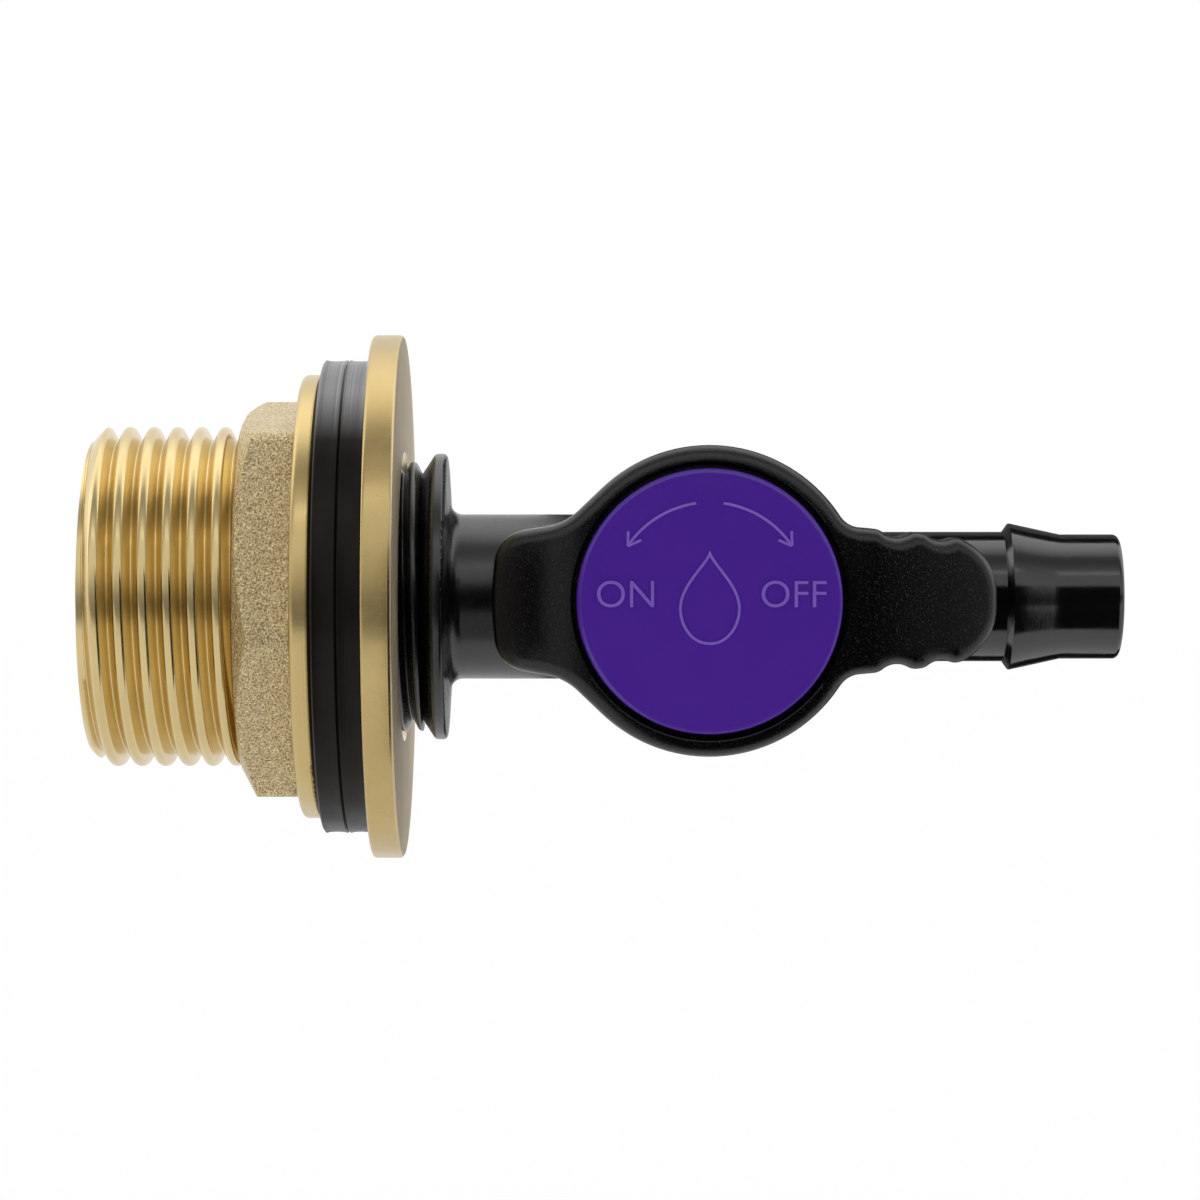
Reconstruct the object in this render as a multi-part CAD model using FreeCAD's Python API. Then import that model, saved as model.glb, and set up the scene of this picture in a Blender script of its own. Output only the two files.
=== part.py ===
"""Water butt tap: a quarter-turn valve in a brass tank outlet.

Frame, in millimetres: X runs along the flow towards the hose barb, Z is up, the handle faces -Y.
The origin lies on the flow axis, in the plane where the two rubber washers grip the tank wall.
Heights above the flow axis, towards the handle, are named h and run along -Y.
"""

import FreeCAD
import Part
import math
import os

# Brass tank outlet
spigot_diameter = 33.0
spigot_reach = 24.85
spigot_lead = 1.4
spigot_pitch = 2.309
spigot_thread_depth = 1.3
spigot_root_width = 0.2
spigot_flank_angle = 27.5
spigot_crest_x = -12.1
spigot_run_out = 3.25
spigot_run_out_depth = 1.5
flange_diameter = 50.8
flange_thickness = 2.95
flange_edge = 0.6
socket_slack = 0.15
socket_depth = 11.8
socket_mouth = 0.8
inlet_bore_diameter = 22.0

# Rubber washers on the tank wall
washer_diameter = 46.0
washer_thickness = 2.35
washer_hollow = 0.12
washer_slack = 0.3

# Brass backnut
nut_across_flats = 35.4
nut_hex_length = 5.75
nut_corner_angle = 40.0
nut_corner_round = 1.6
nut_face_diameter = 34.0
nut_end_taper = 1.8
nut_collar_diameter = 43.1
nut_collar_thickness = 2.1
nut_collar_edge = 0.6
nut_slack = 0.1

# Stub, collar and neck of the valve body
stub_diameter = 26.2
stub_length = 12.6
stub_lead = 1.2
stub_root_depth = 1.1
stub_core_diameter = 18.0
stub_run_out = 0.9
socket_washer_thickness = 1.0
collar_diameter = 27.8
collar_flank = 1.25
collar_width = 1.1
collar_draft = 0.4
neck_diameter = 16.0
neck_fillet = 1.2
inlet_way_diameter = 10.0

# Valve chamber
stem_x = 34.5
plug_diameter = 17.9
plug_slack = 0.05
sleeve_thickness = 1.2
sleeve_slack = 0.05
chamber_wall = 2.35
chamber_depth = 9.0
chamber_floor = 2.5
chamber_round = 1.5
chamber_blend = 1.2
mouth_step = 0.8
mouth_depth = 2.9

# Outlet neck, hose barb and tip
outlet_neck_diameter = 12.6
outlet_way_diameter = 8.6
tail_way_diameter = 9.2
tail_way_depth = 12.0
barb_diameter = 14.3
barb_start = 28.9
barb_rise = 0.6
barb_cone = 5.0
tip_diameter = 12.1
tip_length = 5.7
tip_edge = 0.6

# Spindle, bonnet and seals
port_diameter = 9.7
shoulder_h = 7.5
stem_diameter = 12.0
stem_slack = 0.1
square_width = 6.0
square_height = 2.3
thrust_washer_thickness = 0.8
stem_ring_section = 0.96
stem_ring_spread = 1.4
bonnet_ring_section = 1.0
spanner_slot = 1.6

# Handle
handle_h = 9.0
handle_height = 9.0
handle_ring_diameter = 29.1
handle_edge = 1.4
handle_skirt_gap = 0.4
short_wing_reach = 20.4
short_wing_width = 13.3
short_wing_corner = 3.4
short_wing_fall = 2.4
long_wing_reach = 27.15
long_wing_root_width = 13.3
long_wing_tip_width = 11.5
long_wing_fall = 3.6
short_wing_blend = 5.5
long_wing_blend = 2.4
wing_wall = 1.7
scallop_radius = 2.2
scallop_depth = 0.5
scallop_places = (17.55, 21.85)
scallop_lip_round = 1.5
web_h = 12.4
web_thickness = 2.2
boss_diameter = 10.4
boss_reach = 0.6
stop_angle = 20.0
stop_free_angle = 1.0
stop_depth = 1.3
turn_angle = 90.0

# Handle cap and screw
cap_diameter = 24.8
cap_gap = 0.55
cap_thickness = 1.5
cap_proud = 0.3
cap_edge = 0.5
cap_ledge = 1.3
peg_diameter = 2.4
peg_circle_diameter = 17.0
peg_count = 3
screw_diameter = 2.8
screw_length = 8.6
screw_head_diameter = 5.6
screw_head_height = 1.6

# A hair of room between pieces that only touch
touch = 0.05

# Places that follow from the sizes above
socket_radius = stub_diameter / 2 + socket_slack
flange_face_x = washer_thickness + flange_thickness
socket_floor_x = flange_face_x - socket_depth
stub_end_x = socket_floor_x + socket_washer_thickness
stub_root_x = stub_end_x + stub_length
collar_x = stub_root_x + collar_flank
nut_collar_x = -washer_thickness - nut_collar_thickness
nut_end_x = nut_collar_x - nut_hex_length
nut_corner_radius = nut_across_flats / math.sqrt(3)
nut_bore_radius = spigot_diameter / 2 + nut_slack
barb_x = stem_x + barb_start
tip_x = barb_x + barb_rise + barb_cone
end_x = tip_x + tip_length
sleeve_inner_radius = plug_diameter / 2 + plug_slack
sleeve_outer_radius = sleeve_inner_radius + sleeve_thickness
chamber_radius = sleeve_outer_radius + sleeve_slack
chamber_outer_radius = chamber_radius + chamber_wall
mouth_radius = chamber_radius + mouth_step
mouth_h = shoulder_h + touch + thrust_washer_thickness + touch
rim_h = mouth_h + mouth_depth
stem_radius = stem_diameter / 2
stem_ring_groove_radius = stem_radius - stem_ring_section
bonnet_outer_radius = mouth_radius - touch
bonnet_inner_radius = stem_radius + stem_slack
bonnet_groove_radius = bonnet_outer_radius - bonnet_ring_section - touch
bonnet_mid_h = (mouth_h + rim_h) / 2
square_top_h = rim_h + square_height
ring_radius = handle_ring_diameter / 2
skirt_radius = chamber_outer_radius + handle_skirt_gap
handle_top_h = handle_h + handle_height
web_top_h = web_h + web_thickness
screw_seat_h = web_top_h + boss_reach
cap_radius = cap_diameter / 2
cap_top_h = handle_top_h + cap_proud
cap_under_h = cap_top_h - cap_thickness
ledge_h = cap_under_h - touch
stop_outer_radius = chamber_outer_radius - 0.2
stop_inner_radius = mouth_radius + 0.2
notch_angle = turn_angle + stop_angle + 2 * stop_free_angle

ORIGIN = FreeCAD.Vector(0, 0, 0)
ALONG_FLOW = FreeCAD.Vector(1, 0, 0)
UP_STEM = FreeCAD.Vector(0, -1, 0)


def flow_point(point):
    """A point of a section through the flow axis: distance along X, radius."""
    return FreeCAD.Vector(point.x, 0, point.y)


def stem_point(point):
    """A point of a section through the stem axis: radius, height h."""
    return FreeCAD.Vector(stem_x + point.x, -point.y, 0)


def plan_point(point):
    """A point of the handle's plan, measured from the stem axis and lying at its underside."""
    return FreeCAD.Vector(stem_x + point.x, -handle_h, point.y)


def side_point(point):
    """A point of the handle's side view: distance from the stem axis, height h."""
    return FreeCAD.Vector(stem_x + point.x, -point.y, 0)


def path(points, place, closed=True):
    """Edges through corner points; a third number in a point rounds that corner by its radius."""
    count = len(points)
    stops = []
    for number, point in enumerate(points):
        here = FreeCAD.Vector(point[0], point[1], 0)
        if len(point) == 2:
            stops.append((here, here, here))
            continue
        last = points[number - 1]
        after = points[(number + 1) % count]
        to_last = (FreeCAD.Vector(last[0], last[1], 0) - here).normalize()
        to_next = (FreeCAD.Vector(after[0], after[1], 0) - here).normalize()
        half = to_last.getAngle(to_next) / 2
        inward = (to_last + to_next).normalize()
        centre = here + inward * (point[2] / math.sin(half))
        middle = centre - inward * point[2]
        reach = point[2] / math.tan(half)
        stops.append((here + to_last * reach, middle, here + to_next * reach))
    edges = []
    for number, (enter, middle, leave) in enumerate(stops):
        if (leave - enter).Length > 1e-6:
            edges.append(Part.Arc(place(enter), place(middle), place(leave)).toShape())
        if closed or number < count - 1:
            target = stops[(number + 1) % count][0]
            edges.append(Part.makeLine(place(leave), place(target)))
    return edges


def face(edges):
    """A flat face bounded by the given edges."""
    return Part.Face(Part.Wire(Part.__sortEdges__(edges)))


def outward(shape):
    """The one solid of a shape, with its skin facing outwards."""
    solid = shape.Solids[0]
    if solid.Volume < 0:
        solid.reverse()
    return solid


def turned_on_flow(points):
    """A solid turned about the flow axis from a section of (x, radius) corners."""
    return outward(face(path(points, flow_point)).revolve(ORIGIN, ALONG_FLOW, 360))


def turned_on_stem(points):
    """A solid turned about the stem axis from a section of (radius, h) corners."""
    base = FreeCAD.Vector(stem_x, 0, 0)
    return outward(face(path(points, stem_point)).revolve(base, UP_STEM, 360))


def sector_on_stem(inner, outer, low, high, start, sweep):
    """Part of a ring about the stem axis, from a start angle counted from X towards Z."""
    base = FreeCAD.Vector(stem_x, 0, 0)
    section = face(path([(inner, low), (outer, low), (outer, high), (inner, high)], stem_point))
    section.rotate(base, UP_STEM, start)
    return outward(section.revolve(base, UP_STEM, sweep))


def cylinder_on_flow(radius, start, end):
    """A plain cylinder on the flow axis."""
    return Part.makeCylinder(radius, end - start, FreeCAD.Vector(start, 0, 0), ALONG_FLOW)


def cylinder_on_stem(radius, low, high, out=0.0, across=0.0):
    """A plain cylinder along the stem axis, or moved aside from it."""
    return Part.makeCylinder(radius, high - low, FreeCAD.Vector(stem_x + out, -low, across), UP_STEM)


def block_on_stem(width, depth, low, high):
    """A box centred on the stem axis."""
    corner = FreeCAD.Vector(stem_x - width / 2, -high, -depth / 2)
    return Part.makeBox(width, high - low, depth, corner)


def ring_on_stem(radius, section, height):
    """A round-section ring about the stem axis."""
    return Part.makeTorus(radius, section / 2, FreeCAD.Vector(stem_x, -height, 0), UP_STEM)


def flow_distance(point):
    """How far a point lies from the flow axis."""
    return math.hypot(point.y, point.z)


def stem_distance(point):
    """How far a point lies from the stem axis."""
    return math.hypot(point.x - stem_x, point.z)


def thread_turn(radius, pitch, depth, root_width, flank_angle):
    """One turn of a thread groove along Z, its flanks carried on past the crest."""
    past_crest = depth * 0.23
    rise = math.tan(math.radians(flank_angle))
    root = root_width / 2
    mouth = root + (depth + past_crest) * rise
    section = Part.makePolygon([
        FreeCAD.Vector(radius - depth, 0, -root),
        FreeCAD.Vector(radius + past_crest, 0, -mouth),
        FreeCAD.Vector(radius + past_crest, 0, mouth),
        FreeCAD.Vector(radius - depth, 0, root),
        FreeCAD.Vector(radius - depth, 0, -root),
    ])
    helix = Part.makeHelix(pitch, pitch, radius)
    return Part.Wire(helix).makePipeShell([section], True, True)


def thread_groove(turn, pitch, crest_x, start, end):
    """Turns of a thread groove laid on the flow axis, from before a start to an end."""
    before = math.ceil((crest_x - start) / pitch) + 1
    count = math.floor((end - crest_x) / pitch) + before
    turns = []
    for number in range(count):
        piece = turn.copy()
        piece.rotate(ORIGIN, FreeCAD.Vector(0, 1, 0), 90)
        piece.translate(FreeCAD.Vector(crest_x + (number - before) * pitch, 0, 0))
        turns.append(piece)
    return turns


def make_flanged_spigot():
    """Brass outlet: threaded spigot, flange and threaded socket."""
    thread = spigot_diameter / 2
    bore = inlet_bore_diameter / 2
    run_out_x = washer_thickness - spigot_run_out
    run_out = thread - spigot_run_out_depth
    blank = turned_on_flow([
        (-spigot_reach, bore),
        (-spigot_reach, thread - spigot_lead),
        (-spigot_reach + spigot_lead, thread),
        (run_out_x, thread),
        (run_out_x, run_out),
        (washer_thickness, run_out),
        (washer_thickness, flange_diameter / 2, flange_edge),
        (flange_face_x, flange_diameter / 2, flange_edge),
        (flange_face_x, socket_radius + socket_mouth),
        (flange_face_x - socket_mouth, socket_radius),
        (socket_floor_x, socket_radius),
        (socket_floor_x, bore),
    ])
    turn = thread_turn(thread, spigot_pitch, spigot_thread_depth, spigot_root_width, spigot_flank_angle)
    groove = thread_groove(turn, spigot_pitch, spigot_crest_x, -spigot_reach, washer_thickness)
    return outward(blank.cut(groove).Solids[0])


def make_tank_washer(start):
    """Punched rubber washer, its rim a little hollow."""
    rim = washer_diameter / 2
    bore = spigot_diameter / 2 + washer_slack
    section = [
        Part.makeLine(FreeCAD.Vector(start, 0, bore), FreeCAD.Vector(start, 0, rim)),
        Part.Arc(
            FreeCAD.Vector(start, 0, rim),
            FreeCAD.Vector(start + washer_thickness / 2, 0, rim - washer_hollow),
            FreeCAD.Vector(start + washer_thickness, 0, rim),
        ).toShape(),
        Part.makeLine(
            FreeCAD.Vector(start + washer_thickness, 0, rim),
            FreeCAD.Vector(start + washer_thickness, 0, bore),
        ),
        Part.makeLine(
            FreeCAD.Vector(start + washer_thickness, 0, bore),
            FreeCAD.Vector(start, 0, bore),
        ),
    ]
    return outward(face(section).revolve(ORIGIN, ALONG_FLOW, 360))


def make_backnut():
    """Cast hexagon with a tapered end, and a turned collar, in one piece."""
    corners = []
    for number in range(6):
        angle = math.radians(nut_corner_angle + 60 * number)
        corners.append((
            -nut_corner_radius * math.sin(angle),
            nut_corner_radius * math.cos(angle),
            nut_corner_round,
        ))
    outline = path(corners, lambda point: FreeCAD.Vector(nut_end_x, point.x, point.y))
    prism = face(outline).extrude(FreeCAD.Vector(nut_hex_length, 0, 0))
    end_limit = turned_on_flow([
        (nut_end_x, 0),
        (nut_end_x, nut_face_diameter / 2),
        (nut_end_x + nut_end_taper, nut_corner_radius),
        (nut_collar_x, nut_corner_radius),
        (nut_collar_x, 0),
    ])
    collar = turned_on_flow([
        (nut_collar_x, 0),
        (nut_collar_x, nut_collar_diameter / 2, nut_collar_edge),
        (-washer_thickness, nut_collar_diameter / 2, nut_collar_edge),
        (-washer_thickness, 0),
    ])
    bore = cylinder_on_flow(nut_bore_radius, nut_end_x - 1, 1)
    lead = turned_on_flow([
        (nut_end_x, 0),
        (nut_end_x, nut_bore_radius + 0.3),
        (nut_end_x + 0.3, nut_bore_radius),
        (nut_end_x + 0.3, 0),
    ])
    return outward(prism.common(end_limit).fuse(collar).cut(bore).cut(lead))


def make_socket_washer():
    """Flat rubber washer squeezed under the end of the stub."""
    inner = stub_core_diameter / 2
    outer = socket_radius - touch
    return turned_on_flow([
        (socket_floor_x, inner),
        (socket_floor_x, outer),
        (stub_end_x, outer),
        (stub_end_x, inner),
    ])


def make_valve_body():
    """Black moulding from the threaded stub to the hose tip."""
    stub = stub_diameter / 2
    root = stub - stub_root_depth
    collar = collar_diameter / 2
    neck = neck_diameter / 2
    collar_end_x = collar_x + collar_width
    inlet = turned_on_flow([
        (stub_end_x, 0),
        (stub_end_x, stub - stub_lead),
        (stub_end_x + stub_lead, stub),
        (stub_root_x - stub_run_out, stub),
        (stub_root_x, root),
        (collar_x, collar, 0.5),
        (collar_end_x, collar, 0.4),
        (collar_end_x + collar_draft, neck, neck_fillet),
        (stem_x, neck),
        (stem_x, 0),
    ])
    outlet = turned_on_flow([
        (stem_x, 0),
        (stem_x, outlet_neck_diameter / 2),
        (barb_x, outlet_neck_diameter / 2),
        (barb_x + barb_rise, barb_diameter / 2, 0.2),
        (tip_x, tip_diameter / 2),
        (end_x, tip_diameter / 2, tip_edge),
        (end_x, 0),
    ])
    chamber = turned_on_stem([
        (0, -chamber_depth - chamber_floor),
        (chamber_outer_radius, -chamber_depth - chamber_floor, chamber_round),
        (chamber_outer_radius, rim_h, 0.4),
        (0, rim_h),
    ])
    body = outward(inlet.fuse(chamber).fuse(outlet))
    joins = []
    for edge in body.Edges:
        middle = edge.valueAt((edge.FirstParameter + edge.LastParameter) / 2)
        on_chamber = abs(stem_distance(middle) - chamber_outer_radius) < 0.01
        on_neck = abs(flow_distance(middle) - neck) < 0.01
        on_outlet = abs(flow_distance(middle) - outlet_neck_diameter / 2) < 0.01
        if on_chamber and (on_neck or on_outlet):
            joins.append(edge)
    body = body.makeFillet(chamber_blend, joins)
    way_in = turned_on_flow([
        (stub_end_x, 0),
        (stub_end_x, stub_core_diameter / 2),
        (stub_root_x - 4, stub_core_diameter / 2),
        (stub_root_x, inlet_way_diameter / 2),
        (stem_x, inlet_way_diameter / 2),
        (stem_x, 0),
    ])
    way_out = cylinder_on_flow(outlet_way_diameter / 2, stem_x, end_x)
    tail_way = cylinder_on_flow(tail_way_diameter / 2, end_x - tail_way_depth, end_x + 1)
    room = cylinder_on_stem(chamber_radius, -chamber_depth, rim_h)
    mouth = cylinder_on_stem(mouth_radius, mouth_h, rim_h + 1)
    notch = sector_on_stem(
        mouth_radius - 0.5,
        chamber_outer_radius + 1,
        rim_h - stop_depth,
        rim_h + 1,
        90 - notch_angle / 2,
        notch_angle,
    )
    return outward(body.cut(way_in).cut(way_out).cut(tail_way).cut(room).cut(mouth).cut(notch))


def make_seal_sleeve():
    """Lining of the chamber, with a hole on each side for the water."""
    low = -chamber_depth + touch
    tube = cylinder_on_stem(sleeve_outer_radius, low, shoulder_h)
    inside = cylinder_on_stem(sleeve_inner_radius, low - 1, shoulder_h + 1)
    reach = sleeve_outer_radius + 1
    ports = cylinder_on_flow(port_diameter / 2 + 0.2, stem_x - reach, stem_x + reach)
    return outward(tube.cut(inside).cut(ports))


def make_spindle():
    """Turning plug with its cross port, stem, two ring grooves and square drive."""
    plug = plug_diameter / 2
    groove = stem_ring_groove_radius - 0.02
    wide = stem_ring_section + 0.14
    lower = bonnet_mid_h - stem_ring_spread / 2
    upper = bonnet_mid_h + stem_ring_spread / 2
    turned = turned_on_stem([
        (0, -chamber_depth + 4 * touch),
        (plug, -chamber_depth + 4 * touch, 0.5),
        (plug, shoulder_h),
        (stem_radius, shoulder_h),
        (stem_radius, lower - wide / 2),
        (groove, lower - wide / 2),
        (groove, lower + wide / 2),
        (stem_radius, lower + wide / 2),
        (stem_radius, upper - wide / 2),
        (groove, upper - wide / 2),
        (groove, upper + wide / 2),
        (stem_radius, upper + wide / 2),
        (stem_radius, rim_h),
        (0, rim_h),
    ])
    square = block_on_stem(square_width, square_width, rim_h - 1, square_top_h)
    port = cylinder_on_flow(port_diameter / 2, stem_x - plug - 1, stem_x + plug + 1)
    pilot_low = screw_seat_h - screw_length - 0.3
    pilot = cylinder_on_stem(screw_diameter / 2 + touch, pilot_low, square_top_h + 1)
    return outward(turned.fuse(square).cut(port).cut(pilot))


def make_thrust_washer():
    """Slippery washer on the plug's shoulder."""
    low = shoulder_h + touch
    high = low + thrust_washer_thickness
    return turned_on_stem([
        (bonnet_inner_radius, low),
        (chamber_radius - touch, low),
        (chamber_radius - touch, high),
        (bonnet_inner_radius, high),
    ])


def make_bonnet():
    """Ring that closes the chamber, with a seal groove and two spanner slots."""
    groove_low = bonnet_mid_h - bonnet_ring_section / 2 - 0.07
    groove_high = bonnet_mid_h + bonnet_ring_section / 2 + 0.07
    ring = turned_on_stem([
        (bonnet_inner_radius, mouth_h),
        (bonnet_outer_radius, mouth_h),
        (bonnet_outer_radius, groove_low),
        (bonnet_groove_radius, groove_low),
        (bonnet_groove_radius, groove_high),
        (bonnet_outer_radius, groove_high),
        (bonnet_outer_radius, rim_h),
        (bonnet_inner_radius, rim_h),
    ])
    slots = block_on_stem(spanner_slot, 4 * bonnet_outer_radius, rim_h - 0.7, rim_h + 1)
    keep = cylinder_on_stem(stem_radius + 1.6, mouth_h, rim_h + 1)
    return outward(ring.cut(slots.cut(keep)))


def tangent_point(corner):
    """Where a straight line from a corner outside the handle's ring touches the ring."""
    away = math.hypot(corner[0], corner[1])
    lean = math.atan2(corner[1], corner[0])
    turn = math.acos(ring_radius / away)
    if corner[0] * corner[1] > 0:
        angle = lean + turn
    else:
        angle = lean - turn
    return (ring_radius * math.cos(angle), ring_radius * math.sin(angle))


def handle_plan():
    """The lever seen from the front: ring, short wing on the left, long wing on the right."""
    short_half = short_wing_width / 2
    short_root = (-ring_radius * 0.93, short_half + 0.55)
    long_root = (ring_radius * 0.885, long_wing_root_width / 2 + 0.3)
    long_tip = long_wing_tip_width / 2
    short_touch = tangent_point(short_root)
    long_touch = tangent_point(long_root)
    short_side = [
        short_touch,
        (short_root[0], short_root[1], short_wing_blend),
        (-short_wing_reach + 0.5, short_half - 0.45, short_wing_corner),
        (-short_wing_reach - 0.05, 0, 18.0),
        (-short_wing_reach + 0.5, -short_half + 0.45, short_wing_corner),
        (short_root[0], -short_root[1], short_wing_blend),
        (short_touch[0], -short_touch[1]),
    ]
    long_side = [
        (long_touch[0], -long_touch[1]),
        (long_root[0], -long_root[1], long_wing_blend),
        (long_wing_reach, -long_tip, long_tip - 0.1),
        (long_wing_reach, long_tip, long_tip - 0.1),
        (long_root[0], long_root[1], long_wing_blend),
        long_touch,
    ]
    under = Part.Arc(
        plan_point(FreeCAD.Vector(short_touch[0], -short_touch[1], 0)),
        plan_point(FreeCAD.Vector(0, -ring_radius, 0)),
        plan_point(FreeCAD.Vector(long_touch[0], -long_touch[1], 0)),
    ).toShape()
    over = Part.Arc(
        plan_point(FreeCAD.Vector(long_touch[0], long_touch[1], 0)),
        plan_point(FreeCAD.Vector(0, ring_radius, 0)),
        plan_point(FreeCAD.Vector(short_touch[0], short_touch[1], 0)),
    ).toShape()
    return path(short_side, plan_point, False) + [under] + path(long_side, plan_point, False) + [over]


def handle_side(lowered):
    """The lever seen from the side, its wings falling away from a flat top."""
    top = handle_top_h - lowered
    flat = ring_radius - 0.5
    outline = path([
        (-short_wing_reach - 3, handle_h - 1),
        (long_wing_reach + 3, handle_h - 1),
        (long_wing_reach + 3, top - long_wing_fall * 1.25),
        (flat, top, 30.0),
        (-flat, top, 18.0),
        (-short_wing_reach - 3, top - short_wing_fall * 1.5),
    ], side_point)
    slab = face(outline)
    slab.translate(FreeCAD.Vector(0, 0, -40))
    return slab.extrude(FreeCAD.Vector(0, 0, 80))


def wing_hollows():
    """The two hollows under the wings, which keep the moulding's walls even."""
    start = ring_radius + 0.4
    short_half = short_wing_width / 2 - wing_wall - 0.4
    long_root = long_wing_root_width / 2 - wing_wall - 0.6
    long_tip = long_wing_tip_width / 2 - wing_wall
    short_plan = path([
        (-start, short_half, 0.8),
        (-short_wing_reach + wing_wall, short_half, short_wing_corner - wing_wall + 0.4),
        (-short_wing_reach + wing_wall, -short_half, short_wing_corner - wing_wall + 0.4),
        (-start, -short_half, 0.8),
    ], plan_point)
    long_plan = path([
        (start, -long_root, 0.8),
        (long_wing_reach - wing_wall, -long_tip + 0.2, long_tip - 0.5),
        (long_wing_reach - wing_wall, long_tip - 0.2, long_tip - 0.5),
        (start, long_root, 0.8),
    ], plan_point)
    up = UP_STEM * handle_height
    limit = handle_side(wing_wall)
    short_room = face(short_plan).extrude(up).common(limit)
    long_room = face(long_plan).extrude(up).common(limit)
    return short_room.fuse(long_room)


def top_edges(shape):
    """The edges round the handle's upper outline."""
    chosen = []
    for edge in shape.Edges:
        middle = edge.valueAt((edge.FirstParameter + edge.LastParameter) / 2)
        ends = [vertex.Point for vertex in edge.Vertexes]
        low = min(-point.y for point in ends)
        upright = abs(ends[0].y - ends[-1].y) > 2.5
        crosses = abs(middle.z) < 0.01 and stem_distance(middle) < short_wing_reach - 1
        if low > handle_h + 1 and not upright and not crosses:
            chosen.append(edge)
    return chosen


def scalloped(lever):
    """The lever with two finger scallops in each side of its long wing, their lips rounded."""
    taper = (long_wing_root_width - long_wing_tip_width) / 2
    before = [edge.CenterOfMass for edge in lever.Edges]
    for place in scallop_places:
        share = (place - ring_radius) / (long_wing_reach - ring_radius)
        edge = long_wing_root_width / 2 - taper * share
        across = edge + scallop_radius - scallop_depth
        for side in (across, -across):
            cutter = cylinder_on_stem(scallop_radius, handle_h - 1, handle_top_h + 1, place, side)
            lever = lever.cut(cutter)
    lips = []
    for edge in lever.Edges:
        ends = [vertex.Point for vertex in edge.Vertexes]
        upright = len(ends) == 2 and abs(ends[0].y - ends[1].y) > 2.5
        straight = upright and abs(ends[0].x - ends[1].x) < 0.001
        fresh = min((edge.CenterOfMass - old).Length for old in before) > 0.05
        if straight and fresh:
            lips.append(edge)
    return lever.makeFillet(scallop_lip_round, lips)


def make_handle():
    """Moulded lever: ring, two wings, web with square socket, and stop lug."""
    lever = face(handle_plan()).extrude(UP_STEM * (handle_height + 1)).common(handle_side(0))
    lever = scalloped(outward(lever))
    lever = lever.makeFillet(handle_edge, top_edges(lever))
    lever = lever.cut(wing_hollows())
    lever = lever.cut(cylinder_on_stem(skirt_radius, handle_h - 1, web_h))
    lever = lever.cut(cylinder_on_stem(cap_radius + cap_gap, ledge_h, handle_top_h + 1))
    well_radius = cap_radius + cap_gap - cap_ledge
    lever = lever.cut(cylinder_on_stem(well_radius, web_top_h, handle_top_h + 1))
    boss = cylinder_on_stem(boss_diameter / 2, web_h - boss_reach, screw_seat_h)
    lug = sector_on_stem(
        stop_inner_radius,
        stop_outer_radius,
        rim_h - stop_depth + 0.3,
        web_h + 0.5,
        90 + turn_angle / 2 - stop_angle / 2,
        stop_angle,
    )
    lever = lever.fuse(boss).fuse(lug)
    socket_width = square_width + 2 * touch
    socket = block_on_stem(socket_width, socket_width, web_h - boss_reach - 1, square_top_h + touch)
    screw_hole = cylinder_on_stem(screw_diameter / 2 + 0.1, web_h, screw_seat_h + 1)
    lever = lever.cut(socket).cut(screw_hole)
    for out, across in peg_places():
        lever = lever.cut(cylinder_on_stem(peg_diameter / 2 + touch, web_h - 1, web_top_h + 1, out, across))
    return outward(lever)


def peg_places():
    """Where the cap's pegs stand, as offsets from the stem axis."""
    places = []
    for number in range(peg_count):
        angle = math.radians(90 + 360 * number / peg_count)
        reach = peg_circle_diameter / 2
        places.append((reach * math.cos(angle), reach * math.sin(angle)))
    return places


def make_handle_cap():
    """Round cap on three pegs that press into the handle's web."""
    cap = turned_on_stem([
        (0, cap_under_h),
        (cap_radius, cap_under_h),
        (cap_radius, cap_top_h, cap_edge),
        (0, cap_top_h),
    ])
    for out, across in peg_places():
        peg = cylinder_on_stem(peg_diameter / 2, web_h + 0.2, cap_under_h + 0.5, out, across)
        cap = cap.fuse(peg)
    return outward(cap)


def make_handle_screw():
    """Pan-head screw with a cross recess."""
    shank = screw_diameter / 2
    head = screw_head_diameter / 2
    top = screw_seat_h + screw_head_height
    tip = screw_seat_h - screw_length
    screw = turned_on_stem([
        (0, tip),
        (0.3, tip),
        (shank, tip + 1.4),
        (shank, screw_seat_h),
        (head, screw_seat_h),
        (head, top, 1.0),
        (0, top),
    ])
    for width, depth in ((0.7, 2.8), (2.8, 0.7)):
        screw = screw.cut(block_on_stem(width, depth, top - 0.9, top + 1))
    return outward(screw)


stem_ring_radius = stem_radius - stem_ring_section / 2

nodes = {
    "flanged_spigot": make_flanged_spigot(),
    "backnut": make_backnut(),
    "inner_washer": make_tank_washer(-washer_thickness),
    "outer_washer": make_tank_washer(0),
    "socket_washer": make_socket_washer(),
    "valve_body": make_valve_body(),
    "seal_sleeve": make_seal_sleeve(),
    "spindle": make_spindle(),
    "thrust_washer": make_thrust_washer(),
    "bonnet": make_bonnet(),
    "bonnet_o_ring": ring_on_stem(
        bonnet_groove_radius + bonnet_ring_section / 2 + 0.02,
        bonnet_ring_section,
        bonnet_mid_h,
    ),
    "stem_o_ring_lower": ring_on_stem(
        stem_ring_radius, stem_ring_section, bonnet_mid_h - stem_ring_spread / 2
    ),
    "stem_o_ring_upper": ring_on_stem(
        stem_ring_radius, stem_ring_section, bonnet_mid_h + stem_ring_spread / 2
    ),
    "handle": make_handle(),
    "handle_screw": make_handle_screw(),
    "handle_cap": make_handle_cap(),
}

os.makedirs("parts", exist_ok=True)
for name, shape in nodes.items():
    shape.exportStep("parts/" + name + ".step")
    print(name, "valid" if shape.isValid() else "NOT VALID", round(shape.Volume, 1))
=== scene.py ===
"""Water butt tap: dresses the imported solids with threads, marks, finishes and a plain studio.

Everything is in metres, in the frame of the solids: X along the flow, Z up, the handle faces -Y.
"""

import math

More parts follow.
